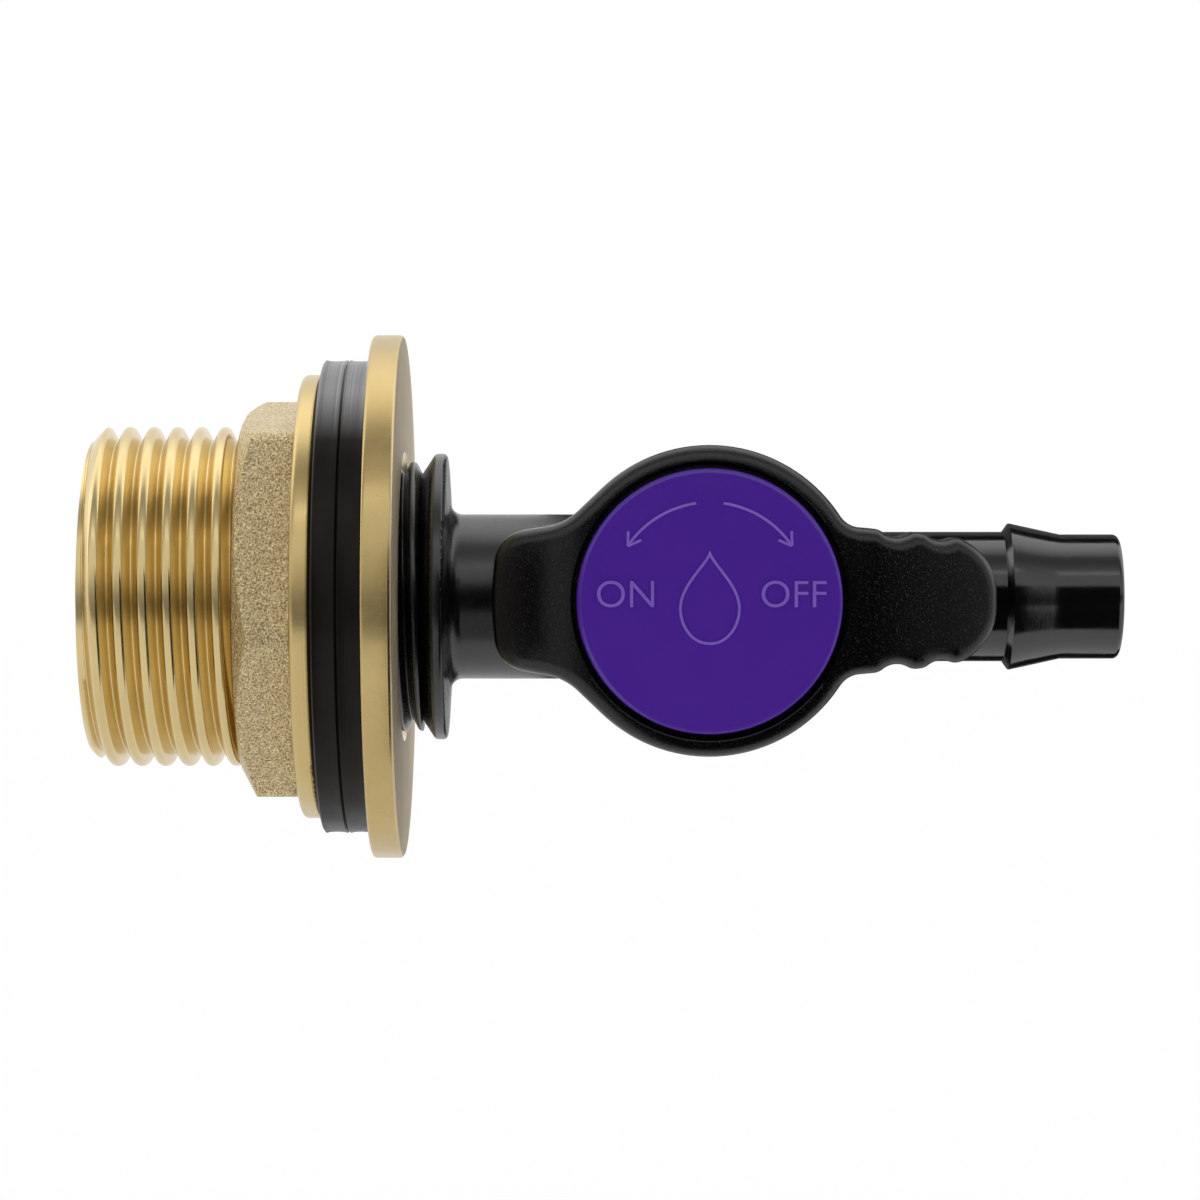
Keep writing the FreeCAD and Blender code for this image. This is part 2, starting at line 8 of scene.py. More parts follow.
import bmesh
import bpy
from mathutils import Matrix, Vector


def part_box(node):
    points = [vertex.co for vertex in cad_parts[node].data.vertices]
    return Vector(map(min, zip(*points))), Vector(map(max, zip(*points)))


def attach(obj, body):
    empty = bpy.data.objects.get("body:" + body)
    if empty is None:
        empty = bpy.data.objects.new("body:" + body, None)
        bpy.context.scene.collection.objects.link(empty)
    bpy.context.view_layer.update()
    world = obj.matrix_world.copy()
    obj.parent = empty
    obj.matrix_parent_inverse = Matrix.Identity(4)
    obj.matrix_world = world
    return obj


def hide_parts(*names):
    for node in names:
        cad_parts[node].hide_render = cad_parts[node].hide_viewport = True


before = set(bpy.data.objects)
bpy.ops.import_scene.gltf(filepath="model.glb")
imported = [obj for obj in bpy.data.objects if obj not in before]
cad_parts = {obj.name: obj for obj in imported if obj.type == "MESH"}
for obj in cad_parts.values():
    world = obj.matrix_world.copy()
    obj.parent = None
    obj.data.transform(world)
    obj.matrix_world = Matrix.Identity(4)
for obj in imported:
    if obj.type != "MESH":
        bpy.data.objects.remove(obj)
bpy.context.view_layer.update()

bl_info = {
    "name": "Water Butt Tap",
    "version": (1, 0, 0),
    "blender": (4, 5, 0),
    "location": "3D View > Sidebar > Tap",
    "description": "Threads, marks, finishes and studio for a quarter-turn tap in a brass tank outlet",
    "category": "Object",
}

# Places read from the solids
SPIGOT_LOW, SPIGOT_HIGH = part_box("flanged_spigot")
NUT_LOW, NUT_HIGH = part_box("backnut")
WASHER_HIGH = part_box("outer_washer")[1]
BODY_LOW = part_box("valve_body")[0]
CAP_LOW, CAP_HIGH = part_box("handle_cap")
STEM_X = (CAP_LOW.x + CAP_HIGH.x) / 2
CAP_FACE_Y = CAP_LOW.y


class TapSizes(bpy.types.PropertyGroup):
    """Sizes of the threads and of the marks on the cap."""

    spigot_radius: bpy.props.FloatProperty(
        name="Spigot crest radius",
        description="Radius over the crests of the 1 inch pipe thread",
        default=0.0165,
        unit="LENGTH",
    )
    spigot_pitch: bpy.props.FloatProperty(
        name="Spigot pitch",
        description="Distance between crests of the 1 inch pipe thread",
        default=0.002309,
        unit="LENGTH",
    )
    spigot_crest_round: bpy.props.FloatProperty(
        name="Spigot crest rounding",
        description="Rounding of the broad crests of the 1 inch pipe thread",
        default=0.00062,
        unit="LENGTH",
    )
    spigot_root_round: bpy.props.FloatProperty(
        name="Spigot root rounding",
        description="Rounding of the narrow roots of the 1 inch pipe thread",
        default=0.00010,
        unit="LENGTH",
    )
    spigot_crest_x: bpy.props.FloatProperty(
        name="Spigot crest place",
        description="Where one crest passes the top of the spigot",
        default=-0.0121,
        unit="LENGTH",
    )
    spigot_lead: bpy.props.FloatProperty(
        name="Spigot lead",
        description="Depth of the turned lead at the tank end",
        default=0.0014,
        unit="LENGTH",
    )
    bore_radius: bpy.props.FloatProperty(
        name="Inlet bore radius",
        description="Radius of the plain bore at the tank end",
        default=0.011,
        unit="LENGTH",
    )
    socket_radius: bpy.props.FloatProperty(
        name="Socket radius",
        description="Radius of the socket that takes the valve",
        default=0.01325,
        unit="LENGTH",
    )
    socket_mouth: bpy.props.FloatProperty(
        name="Socket mouth",
        description="Width of the bevel at the socket's mouth",
        default=0.0008,
        unit="LENGTH",
    )
    socket_depth: bpy.props.FloatProperty(
        name="Socket depth",
        description="Depth of the socket from the flange's face",
        default=0.0118,
        unit="LENGTH",
    )
    flange_edge: bpy.props.FloatProperty(
        name="Flange edge",
        description="Rounding of the flange's rim",
        default=0.0004,
        unit="LENGTH",
    )
    stub_radius: bpy.props.FloatProperty(
        name="Stub crest radius",
        description="Radius over the crests of the 3/4 inch pipe thread",
        default=0.0131,
        unit="LENGTH",
    )
    stub_pitch: bpy.props.FloatProperty(
        name="Stub pitch",
        description="Distance between crests of the 3/4 inch pipe thread",
        default=0.001814,
        unit="LENGTH",
    )
    stub_crest_x: bpy.props.FloatProperty(
        name="Stub crest place",
        description="Where one crest passes the top of the stub",
        default=0.0062,
        unit="LENGTH",
    )
    stub_root_x: bpy.props.FloatProperty(
        name="Stub root place",
        description="Where the stub's thread runs out against the collar",
        default=0.0071,
        unit="LENGTH",
    )
    stub_core_radius: bpy.props.FloatProperty(
        name="Stub core radius",
        description="Radius of the water way inside the stub",
        default=0.009,
        unit="LENGTH",
    )
    inlet_way_radius: bpy.props.FloatProperty(
        name="Inlet way radius",
        description="Radius of the water way inside the neck",
        default=0.005,
        unit="LENGTH",
    )
    recess_radius: bpy.props.FloatProperty(
        name="Cap recess",
        description="Radius of the recess in the handle's ring",
        default=0.01295,
        unit="LENGTH",
    )
    recess_edge: bpy.props.FloatProperty(
        name="Recess edge",
        description="Rounding of the recess edge in the handle's ring",
        default=0.00016,
        unit="LENGTH",
    )
    mark_height: bpy.props.FloatProperty(
        name="Mark height",
        description="How far the marks stand out of the cap",
        default=0.00014,
        unit="LENGTH",
    )
    word_circle: bpy.props.FloatProperty(
        name="Word circle",
        description="Distance of the words ON and OFF from the middle of the cap",
        default=0.0078,
        unit="LENGTH",
    )
    arrow_circle: bpy.props.FloatProperty(
        name="Arrow circle",
        description="Radius of the circle that the two arrows run along",
        default=0.0092,
        unit="LENGTH",
    )
    arrow_head: bpy.props.FloatProperty(
        name="Arrow head",
        description="Length of the bars of an arrow head",
        default=0.0014,
        unit="LENGTH",
    )
    drop_size: bpy.props.FloatProperty(
        name="Drop",
        description="Radius of the round part of the drop in the middle of the cap",
        default=0.0027,
        unit="LENGTH",
    )
    letter_size: bpy.props.FloatProperty(
        name="Letter size",
        description="Height of the words on the cap",
        default=0.0036,
        unit="LENGTH",
    )


class TapFinishes(bpy.types.PropertyGroup):
    """Colours of the pieces."""

    thread_brass: bpy.props.FloatVectorProperty(
        name="Thread brass",
        description="Colour of the bright threaded spigot",
        subtype="COLOR",
        default=(0.74, 0.59, 0.30),
        min=0.0,
        max=1.0,
    )
    flange_brass: bpy.props.FloatVectorProperty(
        name="Flange brass",
        description="Colour of the turned flange and collar",
        subtype="COLOR",
        default=(0.57, 0.43, 0.19),
        min=0.0,
        max=1.0,
    )
    face_brass: bpy.props.FloatVectorProperty(
        name="Face brass",
        description="Colour of the flange's dull face on the valve's side",
        subtype="COLOR",
        default=(0.80, 0.68, 0.48),
        min=0.0,
        max=1.0,
    )
    cast_brass: bpy.props.FloatVectorProperty(
        name="Cast brass",
        description="Colour of the sand-cast hexagon",
        subtype="COLOR",
        default=(0.94, 0.77, 0.45),
        min=0.0,
        max=1.0,
    )
    rubber: bpy.props.FloatVectorProperty(
        name="Rubber",
        description="Colour of the washers and rings",
        subtype="COLOR",
        default=(0.0036, 0.0029, 0.0019),
        min=0.0,
        max=1.0,
    )
    body_black: bpy.props.FloatVectorProperty(
        name="Body black",
        description="Colour of the valve body",
        subtype="COLOR",
        default=(0.0018, 0.0019, 0.0021),
        min=0.0,
        max=1.0,
    )
    handle_black: bpy.props.FloatVectorProperty(
        name="Handle black",
        description="Colour of the lever",
        subtype="COLOR",
        default=(0.0014, 0.0014, 0.0015),
        min=0.0,
        max=1.0,
    )
    cap_purple: bpy.props.FloatVectorProperty(
        name="Cap purple",
        description="Colour of the cap",
        subtype="COLOR",
        default=(0.071, 0.0165, 0.315),
        min=0.0,
        max=1.0,
    )
    # The marks' paler purple is a painted highlight on the raised lines.
    painted_highlight_mark_purple: bpy.props.FloatVectorProperty(
        name="Mark purple",
        description="Colour of the raised marks on the cap, paler than the cap as a painted highlight",
        subtype="COLOR",
        default=(0.215, 0.110, 0.560),
        min=0.0,
        max=1.0,
    )
    inner_white: bpy.props.FloatVectorProperty(
        name="Inner white",
        description="Colour of the plug, sleeve and thrust washer",
        subtype="COLOR",
        default=(0.62, 0.61, 0.57),
        min=0.0,
        max=1.0,
    )
    stainless: bpy.props.FloatVectorProperty(
        name="Stainless",
        description="Colour of the screw",
        subtype="COLOR",
        default=(0.55, 0.55, 0.55),
        min=0.0,
        max=1.0,
    )


class TapStudio(bpy.types.PropertyGroup):
    """Camera and floor of the studio."""

    camera_distance: bpy.props.FloatProperty(
        name="Camera distance",
        description="From the flow axis to the camera",
        default=0.390,
        unit="LENGTH",
    )
    camera_x: bpy.props.FloatProperty(
        name="Camera place along the flow",
        description="The point along the flow that the camera faces",
        default=0.0243,
        unit="LENGTH",
    )
    camera_rise: bpy.props.FloatProperty(
        name="Camera rise",
        description="Angle of the camera above the flow axis",
        default=math.radians(1.5),
        unit="ROTATION",
    )
    target_z: bpy.props.FloatProperty(
        name="Aim height",
        description="Height that the camera aims at, from the flow axis",
        default=-0.00034,
        unit="LENGTH",
    )
    frame_width: bpy.props.FloatProperty(
        name="Frame width",
        description="Width of the picture at the flow axis",
        default=0.1169,
        unit="LENGTH",
    )
    floor_front: bpy.props.FloatProperty(
        name="Floor front",
        description="How far the floor reaches in front of the flow axis",
        default=0.29,
        unit="LENGTH",
    )
    floor_z: bpy.props.FloatProperty(
        name="Floor height",
        description="Height of the floor, from the flow axis",
        default=-0.080,
        unit="LENGTH",
    )


# Light of the room by the angle up from the camera's side, over the top and down behind
ROOM_LIGHT = (
    (-180, 1.00),
    (-20, 0.50),
    (-16, 0.26),
    (-2, 0.24),
    (3, 0.40),
    (12, 0.70),
    (25, 0.95),
    (40, 0.88),
    (52, 0.72),
    (60, 0.50),
    (68, 0.38),
    (80, 0.46),
    (84, 0.95),
    (100, 1.60),
    (130, 1.60),
    (180, 1.00),
)

# Cards that only gloss sees, about the plastic: ends along X, two edges as (Y, Z) places, and grey
CARDS = {
    "lens_card": ((0.0115, 0.100), (-0.062, 0.022), (-0.062, -0.018), 0.006),
    "low_card": ((0.0115, 0.100), (-0.062, -0.018), (-0.034, -0.058), 0.006),
    "wing_card": ((0.0080, 0.015), (-0.024, 0.007), (-0.024, -0.007), 0.006),
    "upper_black_card": ((0.018, 0.100), (0.0183, 0.0411), (0.0301, 0.0334), 0.02),
    "upper_grey_card": ((0.018, 0.100), (0.0301, 0.0334), (0.0449, 0.0031), 0.20),
    "lower_black_card": ((0.018, 0.100), (0.0252, -0.0373), (0.0382, -0.0238), 0.02),
    "lower_grey_card": ((0.018, 0.100), (0.0382, -0.0238), (0.0449, -0.0031), 0.20),
}

# Words on the cap, and where they stand on their circle, in degrees
WORDS = (("ON", 176), ("OFF", 4))

# Arrows on the cap: where each starts and ends on its circle, and where its point heads, in degrees
ARROWS = ((98, 146, 236), (34, 82, -56))

# Points nearer than the first are joined; a cut and a test of place are as fine as the next two
JOIN_WITHIN = 1e-6
CUT_WITHIN = 1e-7
TOUCH_WITHIN = 2e-7

# Angle between the flanks of a pipe thread, in degrees
THREAD_ANGLE = 55.0

# Selection and modelling tools


def clear_selection():
    """Leaves edit mode and selects nothing."""
    if bpy.context.object and bpy.context.object.mode != "OBJECT":
        bpy.ops.object.mode_set(mode="OBJECT")
    bpy.ops.object.select_all(action="DESELECT")


def take_up(piece):
    """Selects one object and makes it the active one."""
    clear_selection()
    piece.select_set(True)
    bpy.context.view_layer.objects.active = piece


def edit_all(piece):
    """Takes one object up in edit mode, with its whole mesh selected."""
    take_up(piece)
    bpy.ops.object.mode_set(mode="EDIT")
    bpy.ops.mesh.select_all(action="SELECT")


def apply_place():
    """Puts the active object's place, turn and scale into its mesh."""
    bpy.ops.object.transform_apply(location=True, rotation=True, scale=True)


def merge_points(piece):
    """Joins the points of a mesh that lie together."""
    edit_all(piece)
    bpy.ops.mesh.remove_doubles(threshold=JOIN_WITHIN)
    bpy.ops.object.mode_set(mode="OBJECT")


def select_points(piece, wanted):
    """In edit mode, selects the points whose place passes a test."""
    mesh = bmesh.from_edit_mesh(piece.data)
    for point in mesh.verts:
        point.select = wanted(point.co)
    mesh.select_flush_mode()
    bmesh.update_edit_mesh(piece.data)


def rounded(corners, steps=5):
    """Section points through corners; a third number in a corner rounds it by that radius."""
    points = []
    count = len(corners)
    for number, corner in enumerate(corners):
        here = Vector(corner[:2])
        if len(corner) == 2:
            points.append(here)
            continue
        to_last = (Vector(corners[number - 1][:2]) - here).normalized()
        to_next = (Vector(corners[(number + 1) % count][:2]) - here).normalized()
        half = to_last.angle(to_next) / 2
        inward = (to_last + to_next).normalized()
        centre = here + inward * (corner[2] / math.sin(half))
        start = here + to_last * (corner[2] / math.tan(half)) - centre
        end = here + to_next * (corner[2] / math.tan(half)) - centre
        for step in range(steps + 1):
            points.append(centre + start.slerp(end, step / steps) * corner[2])
    return points


def draw_section(name, points):
    """Draws a chain of edges by extruding one vertex from point to point, and stays in edit mode."""
    clear_selection()
    bpy.ops.mesh.primitive_plane_add(size=0.001, location=points[0])
    piece = bpy.context.object
    piece.name = name
    piece.data.name = name
    apply_place()
    edit_all(piece)
    bpy.ops.mesh.merge(type="CENTER")
    for here, there in zip(points, points[1:]):
        bpy.ops.mesh.extrude_region_move(TRANSFORM_OT_translate={"value": there - here})
    return piece


def tidy_mesh(piece, angle=35.0):
    """Joins doubles, turns faces outwards and smooths all but the sharp edges."""
    edit_all(piece)
    bpy.ops.mesh.remove_doubles(threshold=JOIN_WITHIN)
    bpy.ops.mesh.normals_make_consistent(inside=False)
    bpy.ops.object.mode_set(mode="OBJECT")
    bpy.ops.object.shade_smooth_by_angle(angle=math.radians(angle))


def turned_on_flow(name, corners, around):
    """A closed piece turned about the flow axis from (x, radius) corners."""
    flat = rounded(corners)
    flat.append(flat[0])
    points = [Vector((point.x, 0, point.y)) for point in flat]
    piece = draw_section(name, points)
    bpy.ops.mesh.select_all(action="SELECT")
    bpy.ops.mesh.spin(
        steps=around,
        angle=math.tau,
        center=(0, 0, 0),
        axis=(1, 0, 0),
    )
    tidy_mesh(piece)
    return piece


def thread_form(pitch, crest, root, steps=5):
    """One pitch of a pipe thread from crest to crest, as (along, below the crest) pairs, and its depth."""
    flank = math.radians(THREAD_ANGLE / 2)
    sweep = math.pi / 2 - flank
    width = pitch / 2 - (crest + root) * math.sin(sweep)
    depth = (crest + root) * (1 - math.cos(sweep)) + width / math.tan(flank)
    half = []
    for step in range(steps + 1):
        turn = sweep * step / steps
        half.append((crest * math.sin(turn), crest * (1 - math.cos(turn))))
    for step in range(steps, -1, -1):
        turn = sweep * step / steps
        half.append((pitch / 2 - root * math.sin(turn), depth - root * (1 - math.cos(turn))))
    other = [(pitch - along, below) for along, below in reversed(half[:-1])]
    return half + other, depth


def threaded_skin(name, form, pitch, crest_x, radius, turns, around):
    """An open skin with a right-hand thread, from one crest at the top, by a Screw modifier."""
    points = [Vector((crest_x + along, 0, radius - below)) for along, below in form]
    piece = draw_section(name, points)
    bpy.ops.object.mode_set(mode="OBJECT")
    winding = piece.modifiers.new("Winding", "SCREW")
    winding.axis = "X"
    winding.angle = math.tau
    winding.screw_offset = pitch
    winding.iterations = turns
    winding.steps = around
    winding.render_steps = around
    take_up(piece)
    bpy.ops.object.modifier_apply(modifier=winding.name)
    merge_points(piece)
    return piece


def cut_to_length(piece, low, high):
    """Cuts a skin square at both ends along the flow."""
    take_up(piece)
    bpy.ops.object.mode_set(mode="EDIT")
    for place, side in ((low, -1), (high, 1)):
        bpy.ops.mesh.select_all(action="SELECT")
        bpy.ops.mesh.bisect(
            plane_co=(place, 0, 0),
            plane_no=(side, 0, 0),
            clear_outer=True,
            threshold=CUT_WITHIN,
        )
    bpy.ops.object.mode_set(mode="OBJECT")


def wall_to_radius(piece, ends, radius):
    """Closes a skin's two open ends to a plain cylinder of the given radius."""
    take_up(piece)
    bpy.ops.object.mode_set(mode="EDIT")
    for place in ends:
        select_points(piece, lambda spot: abs(spot.x - place) < TOUCH_WITHIN)
        bpy.ops.mesh.extrude_region_move(TRANSFORM_OT_translate={"value": (0, 0, 0)})
        mesh = bmesh.from_edit_mesh(piece.data)
        for point in mesh.verts:
            if point.select:
                share = radius / math.hypot(point.co.y, point.co.z)
                point.co.y *= share
                point.co.z *= share
        bmesh.update_edit_mesh(piece.data)
    select_points(piece, lambda spot: abs(math.hypot(spot.y, spot.z) - radius) < TOUCH_WITHIN)
    bpy.ops.mesh.bridge_edge_loops()
    bpy.ops.object.mode_set(mode="OBJECT")


def turn_lead(piece, end, depth, crest_radius):
    """Turns the lead on a threaded end: no point stands outside a cone that starts at the end face."""
    reach = depth * 1.5
    for point in piece.data.vertices:
        along = point.co.x - end
        if along < reach:
            limit = crest_radius - depth + max(along, 0.0)
            radius = math.hypot(point.co.y, point.co.z)
            if radius > limit:
                point.co.y *= limit / radius
                point.co.z *= limit / radius


def merged_copy(node, name, angle):
    """A copy of a solid's mesh with its loose triangles joined and smoothed."""
    piece = bpy.data.objects.new(name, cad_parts[node].data.copy())
    piece.data.name = name
    piece.data.materials.clear()
    bpy.context.scene.collection.objects.link(piece)
    take_up(piece)
    if piece.data.has_custom_normals:
        bpy.ops.mesh.customdata_custom_splitnormals_clear()
    merge_points(piece)
    bpy.ops.object.shade_smooth_by_angle(angle=math.radians(angle))
    return piece


def join_pieces(main, *others):
    """Joins objects into the first one."""
    take_up(main)
    for piece in others:
        piece.select_set(True)
    bpy.ops.object.join()
    return main


def finish_piece(piece, material, body, slot, *nodes):
    """Gives a piece its material and its body, and hides the solids that it stands for. The finish slot is
    not used.
    """
    piece.data.materials.clear()
    piece.data.materials.append(material)
    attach(piece, body)
    if nodes:
        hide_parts(*nodes)


# Shader node groups and materials


def add_socket(group, name, kind, way, default=None):
    """Adds a named socket to a node group."""
    socket = group.interface.new_socket(name=name, in_out=way, socket_type=kind)
    if default is not None:
        socket.default_value = default


def new_group(name):
    """An empty shader node group with its two end nodes."""
    group = bpy.data.node_groups.new(name, "ShaderNodeTree")
    start = group.nodes.new("NodeGroupInput")
    end = group.nodes.new("NodeGroupOutput")
    return group, start, end


def feed(tree, value, socket):
    """Links an output into a socket, or sets a number on it."""
    if isinstance(value, (int, float)):
        socket.default_value = value
    else:
        tree.links.new(value, socket)


def math_node(tree, operation, first, second=None):
    """A Math node with sockets or numbers as its inputs; returns its output."""
    node = tree.nodes.new("ShaderNodeMath")
    node.operation = operation
    feed(tree, first, node.inputs[0])
    if second is not None:
        feed(tree, second, node.inputs[1])
    return node.outputs[0]


def noise_node(tree, vector, scale, detail, roughness):
    """A Noise Texture on a vector socket; returns its value."""
    node = tree.nodes.new("ShaderNodeTexNoise")
    node.inputs["Detail"].default_value = detail
    node.inputs["Roughness"].default_value = roughness
    tree.links.new(vector, node.inputs["Vector"])
    feed(tree, scale, node.inputs["Scale"])
    return node.outputs[0]


def range_node(tree, value, low, high, out_low, out_high):
    """A Map Range node; returns its value."""
    node = tree.nodes.new("ShaderNodeMapRange")
    for number, item in enumerate((value, low, high, out_low, out_high)):
        feed(tree, item, node.inputs[number])
    return node.outputs[0]


def mask_node(tree, value, none, full):
    """A mask that rises from 0 to 1 between two values."""
    return range_node(tree, value, none, full, 0.0, 1.0)


def add_where(tree, value, mask, extra):
    """A value with something more where a mask is white."""
    return math_node(tree, "ADD", value, math_node(tree, "MULTIPLY", mask, extra))


def mix_node(tree, share, first, second):
    """A colour Mix node with sockets or colours as its inputs; returns its colour."""
    node = tree.nodes.new("ShaderNodeMix")
    node.data_type = "RGBA"
    feed(tree, share, node.inputs[0])
    for number, value in ((6, first), (7, second)):
        if hasattr(value, "links"):
            tree.links.new(value, node.inputs[number])
        else:
            node.inputs[number].default_value = (*value[:3], 1.0)
    return node.outputs[2]


def shaded(colour, red, green, blue):
    """A colour with each channel multiplied by its own factor."""
    return colour[0] * red, colour[1] * green, colour[2] * blue


def object_place(tree):
    """The Object coordinates as a vector socket."""
    return tree.nodes.new("ShaderNodeTexCoord").outputs["Object"]


def flow_place(tree):
    """Distance along the flow and distance from the flow axis, as two sockets."""
    place = object_place(tree)
    split = tree.nodes.new("ShaderNodeSeparateXYZ")
    tree.links.new(place, split.inputs[0])
    square_y = math_node(tree, "MULTIPLY", split.outputs[1], split.outputs[1])
    square_z = math_node(tree, "MULTIPLY", split.outputs[2], split.outputs[2])
    radius = math_node(tree, "SQRT", math_node(tree, "ADD", square_y, square_z))
    return split.outputs[0], radius


def make_turned_rings():
    """Group: the fine rings that a turning tool or a punch leaves about the flow axis."""
    group, start, end = new_group("Turned rings")
    add_socket(group, "Rings per metre", "NodeSocketFloat", "INPUT", 9000.0)
    add_socket(group, "Height", "NodeSocketFloat", "OUTPUT")
    along, radius = flow_place(group)
    join = group.nodes.new("ShaderNodeCombineXYZ")
    group.links.new(along, join.inputs[0])
    group.links.new(radius, join.inputs[1])
    rings = noise_node(group, join.outputs[0], start.outputs[0], detail=3.0, roughness=0.6)
    group.links.new(rings, end.inputs[0])


def make_fine_grain():
    """Group: fine grain in two sizes, as on spark-eroded moulds and sand castings."""
    group, start, end = new_group("Fine grain")
    add_socket(group, "Grains per metre", "NodeSocketFloat", "INPUT", 3000.0)
    add_socket(group, "Height", "NodeSocketFloat", "OUTPUT")
    add_socket(group, "Speckle", "NodeSocketFloat", "OUTPUT")
    place = object_place(group)
    coarse = noise_node(group, place, start.outputs[0], detail=3.0, roughness=0.62)
    many = math_node(group, "MULTIPLY", start.outputs[0], 3.1)
    finer = noise_node(group, place, many, detail=2.0, roughness=0.5)
    height = add_where(group, coarse, finer, extra=0.45)
    speckle = mask_node(group, finer, none=0.35, full=0.68)
    group.links.new(height, end.inputs[0])
    group.links.new(speckle, end.inputs[1])


def make_handling():
    """Group: slow uneven gloss, from flow in the mould, cleaning and handling."""
    group, start, end = new_group("Handling")
    add_socket(group, "Patches per metre", "NodeSocketFloat", "INPUT", 160.0)
    add_socket(group, "Low", "NodeSocketFloat", "INPUT", 0.25)
    add_socket(group, "High", "NodeSocketFloat", "INPUT", 0.40)
    add_socket(group, "Value", "NodeSocketFloat", "OUTPUT")
    place = object_place(group)
    patches = noise_node(group, place, start.outputs[0], detail=5.0, roughness=0.65)
    value = range_node(group, patches, 0.30, 0.70, start.outputs[1], start.outputs[2])
    group.links.new(value, end.inputs[0])


def place_group(tree, name, **values):
    """Puts a shared node group into a material with its own values."""
    node = tree.nodes.new("ShaderNodeGroup")
    node.node_tree = bpy.data.node_groups[name]
    for socket, value in values.items():
        node.inputs[socket.replace("_", " ")].default_value = value
    return node


def new_material(name):
    """A node material with its Principled shader."""
    material = bpy.data.materials.new(name)
    material.use_nodes = True
    tree = material.node_tree
    return material, tree, tree.nodes["Principled BSDF"]


def add_bump(tree, shader, height, strength, distance, under=None):
    """Feeds a height into the shader's normal, over another bump if one is given."""
    node = tree.nodes.new("ShaderNodeBump")
    node.inputs["Strength"].default_value = strength
    node.inputs["Distance"].default_value = distance
    tree.links.new(height, node.inputs["Height"])
    if under is not None:
        tree.links.new(under, node.inputs["Normal"])
    tree.links.new(node.outputs[0], shader.inputs["Normal"])
    return node.outputs[0]


def brass_material(finishes):
    """Turned brass: bright thread, finer rings on the flange, a dull face and a little tarnish."""
    material, tree, shader = new_material("Turned brass")
    along, radius = flow_place(tree)
    on_flange = mask_node(tree, radius, none=0.0163, full=0.0172)
    rings = place_group(tree, "Turned rings", Rings_per_metre=11000.0)
    handling = place_group(tree, "Handling", Patches_per_metre=220.0, Low=0.15, High=0.27)
    tarnish = place_group(tree, "Handling", Patches_per_metre=90.0, Low=0.0, High=0.55)
    past_socket = mask_node(tree, radius, none=0.0140, full=0.0142)
    at_face = mask_node(tree, along, none=SPIGOT_HIGH.x - 0.0003, full=SPIGOT_HIGH.x)
    on_face = math_node(tree, "MULTIPLY", past_socket, at_face)
    colour = mix_node(tree, on_flange, tuple(finishes.thread_brass), tuple(finishes.flange_brass))
    colour = mix_node(tree, on_face, colour, tuple(finishes.face_brass))
    brown = (0.80, 0.76, 0.72)
    dull = mix_node(tree, 1.0, colour, brown)
    dull.node.blend_type = "MULTIPLY"
    tree.links.new(mix_node(tree, tarnish.outputs[0], colour, dull), shader.inputs["Base Color"])
    rough = add_where(tree, handling.outputs[0], on_flange, extra=0.05)
    rough = add_where(tree, rough, on_face, extra=0.26)
    tree.links.new(rough, shader.inputs["Roughness"])
    shader.inputs["Metallic"].default_value = 1.0
    weight = range_node(tree, on_flange, 0.0, 1.0, 0.25, 1.0)
    lines = math_node(tree, "MULTIPLY", rings.outputs[0], weight)
    add_bump(tree, shader, lines, strength=0.22, distance=0.00004)
    return material


def nut_material(finishes):
    """Backnut brass: sand-cast hexagon, turned collar and end face, told apart by their place."""
    material, tree, shader = new_material("Backnut brass")
    along, radius = flow_place(tree)
    collar_width = 0.0021
    collar_x = NUT_HIGH.x - collar_width
    not_collar = range_node(tree, along, collar_x - 0.00012, collar_x - 0.00002, 1.0, 0.0)
    outside = mask_node(tree, radius, none=0.01700, full=0.01725)
    cast = math_node(tree, "MULTIPLY", not_collar, outside)
    grain = place_group(tree, "Fine grain", Grains_per_metre=1900.0)
    rings = place_group(tree, "Turned rings", Rings_per_metre=9000.0)
    handling = place_group(tree, "Handling", Patches_per_metre=260.0, Low=0.18, High=0.28)
    bright = shaded(finishes.flange_brass, 1.05, 1.05, 1.05)
    sand = tuple(finishes.cast_brass)
    pit = shaded(sand, 0.30, 0.27, 0.22)
    sandy = mix_node(tree, grain.outputs[1], pit, sand)
    tree.links.new(mix_node(tree, cast, bright, sandy), shader.inputs["Base Color"])
    rough = add_where(tree, handling.outputs[0], cast, extra=0.14)
    tree.links.new(rough, shader.inputs["Roughness"])
    shader.inputs["Metallic"].default_value = 1.0
    turned = math_node(tree, "SUBTRACT", 1.0, cast)
    shallow = 0.10
    lines = math_node(tree, "MULTIPLY", math_node(tree, "MULTIPLY", rings.outputs[0], turned), shallow)
    sandy_height = math_node(tree, "MULTIPLY", grain.outputs[0], cast)
    height = math_node(tree, "ADD", lines, sandy_height)
    add_bump(tree, shader, height, strength=1.0, distance=0.00030)
    return material


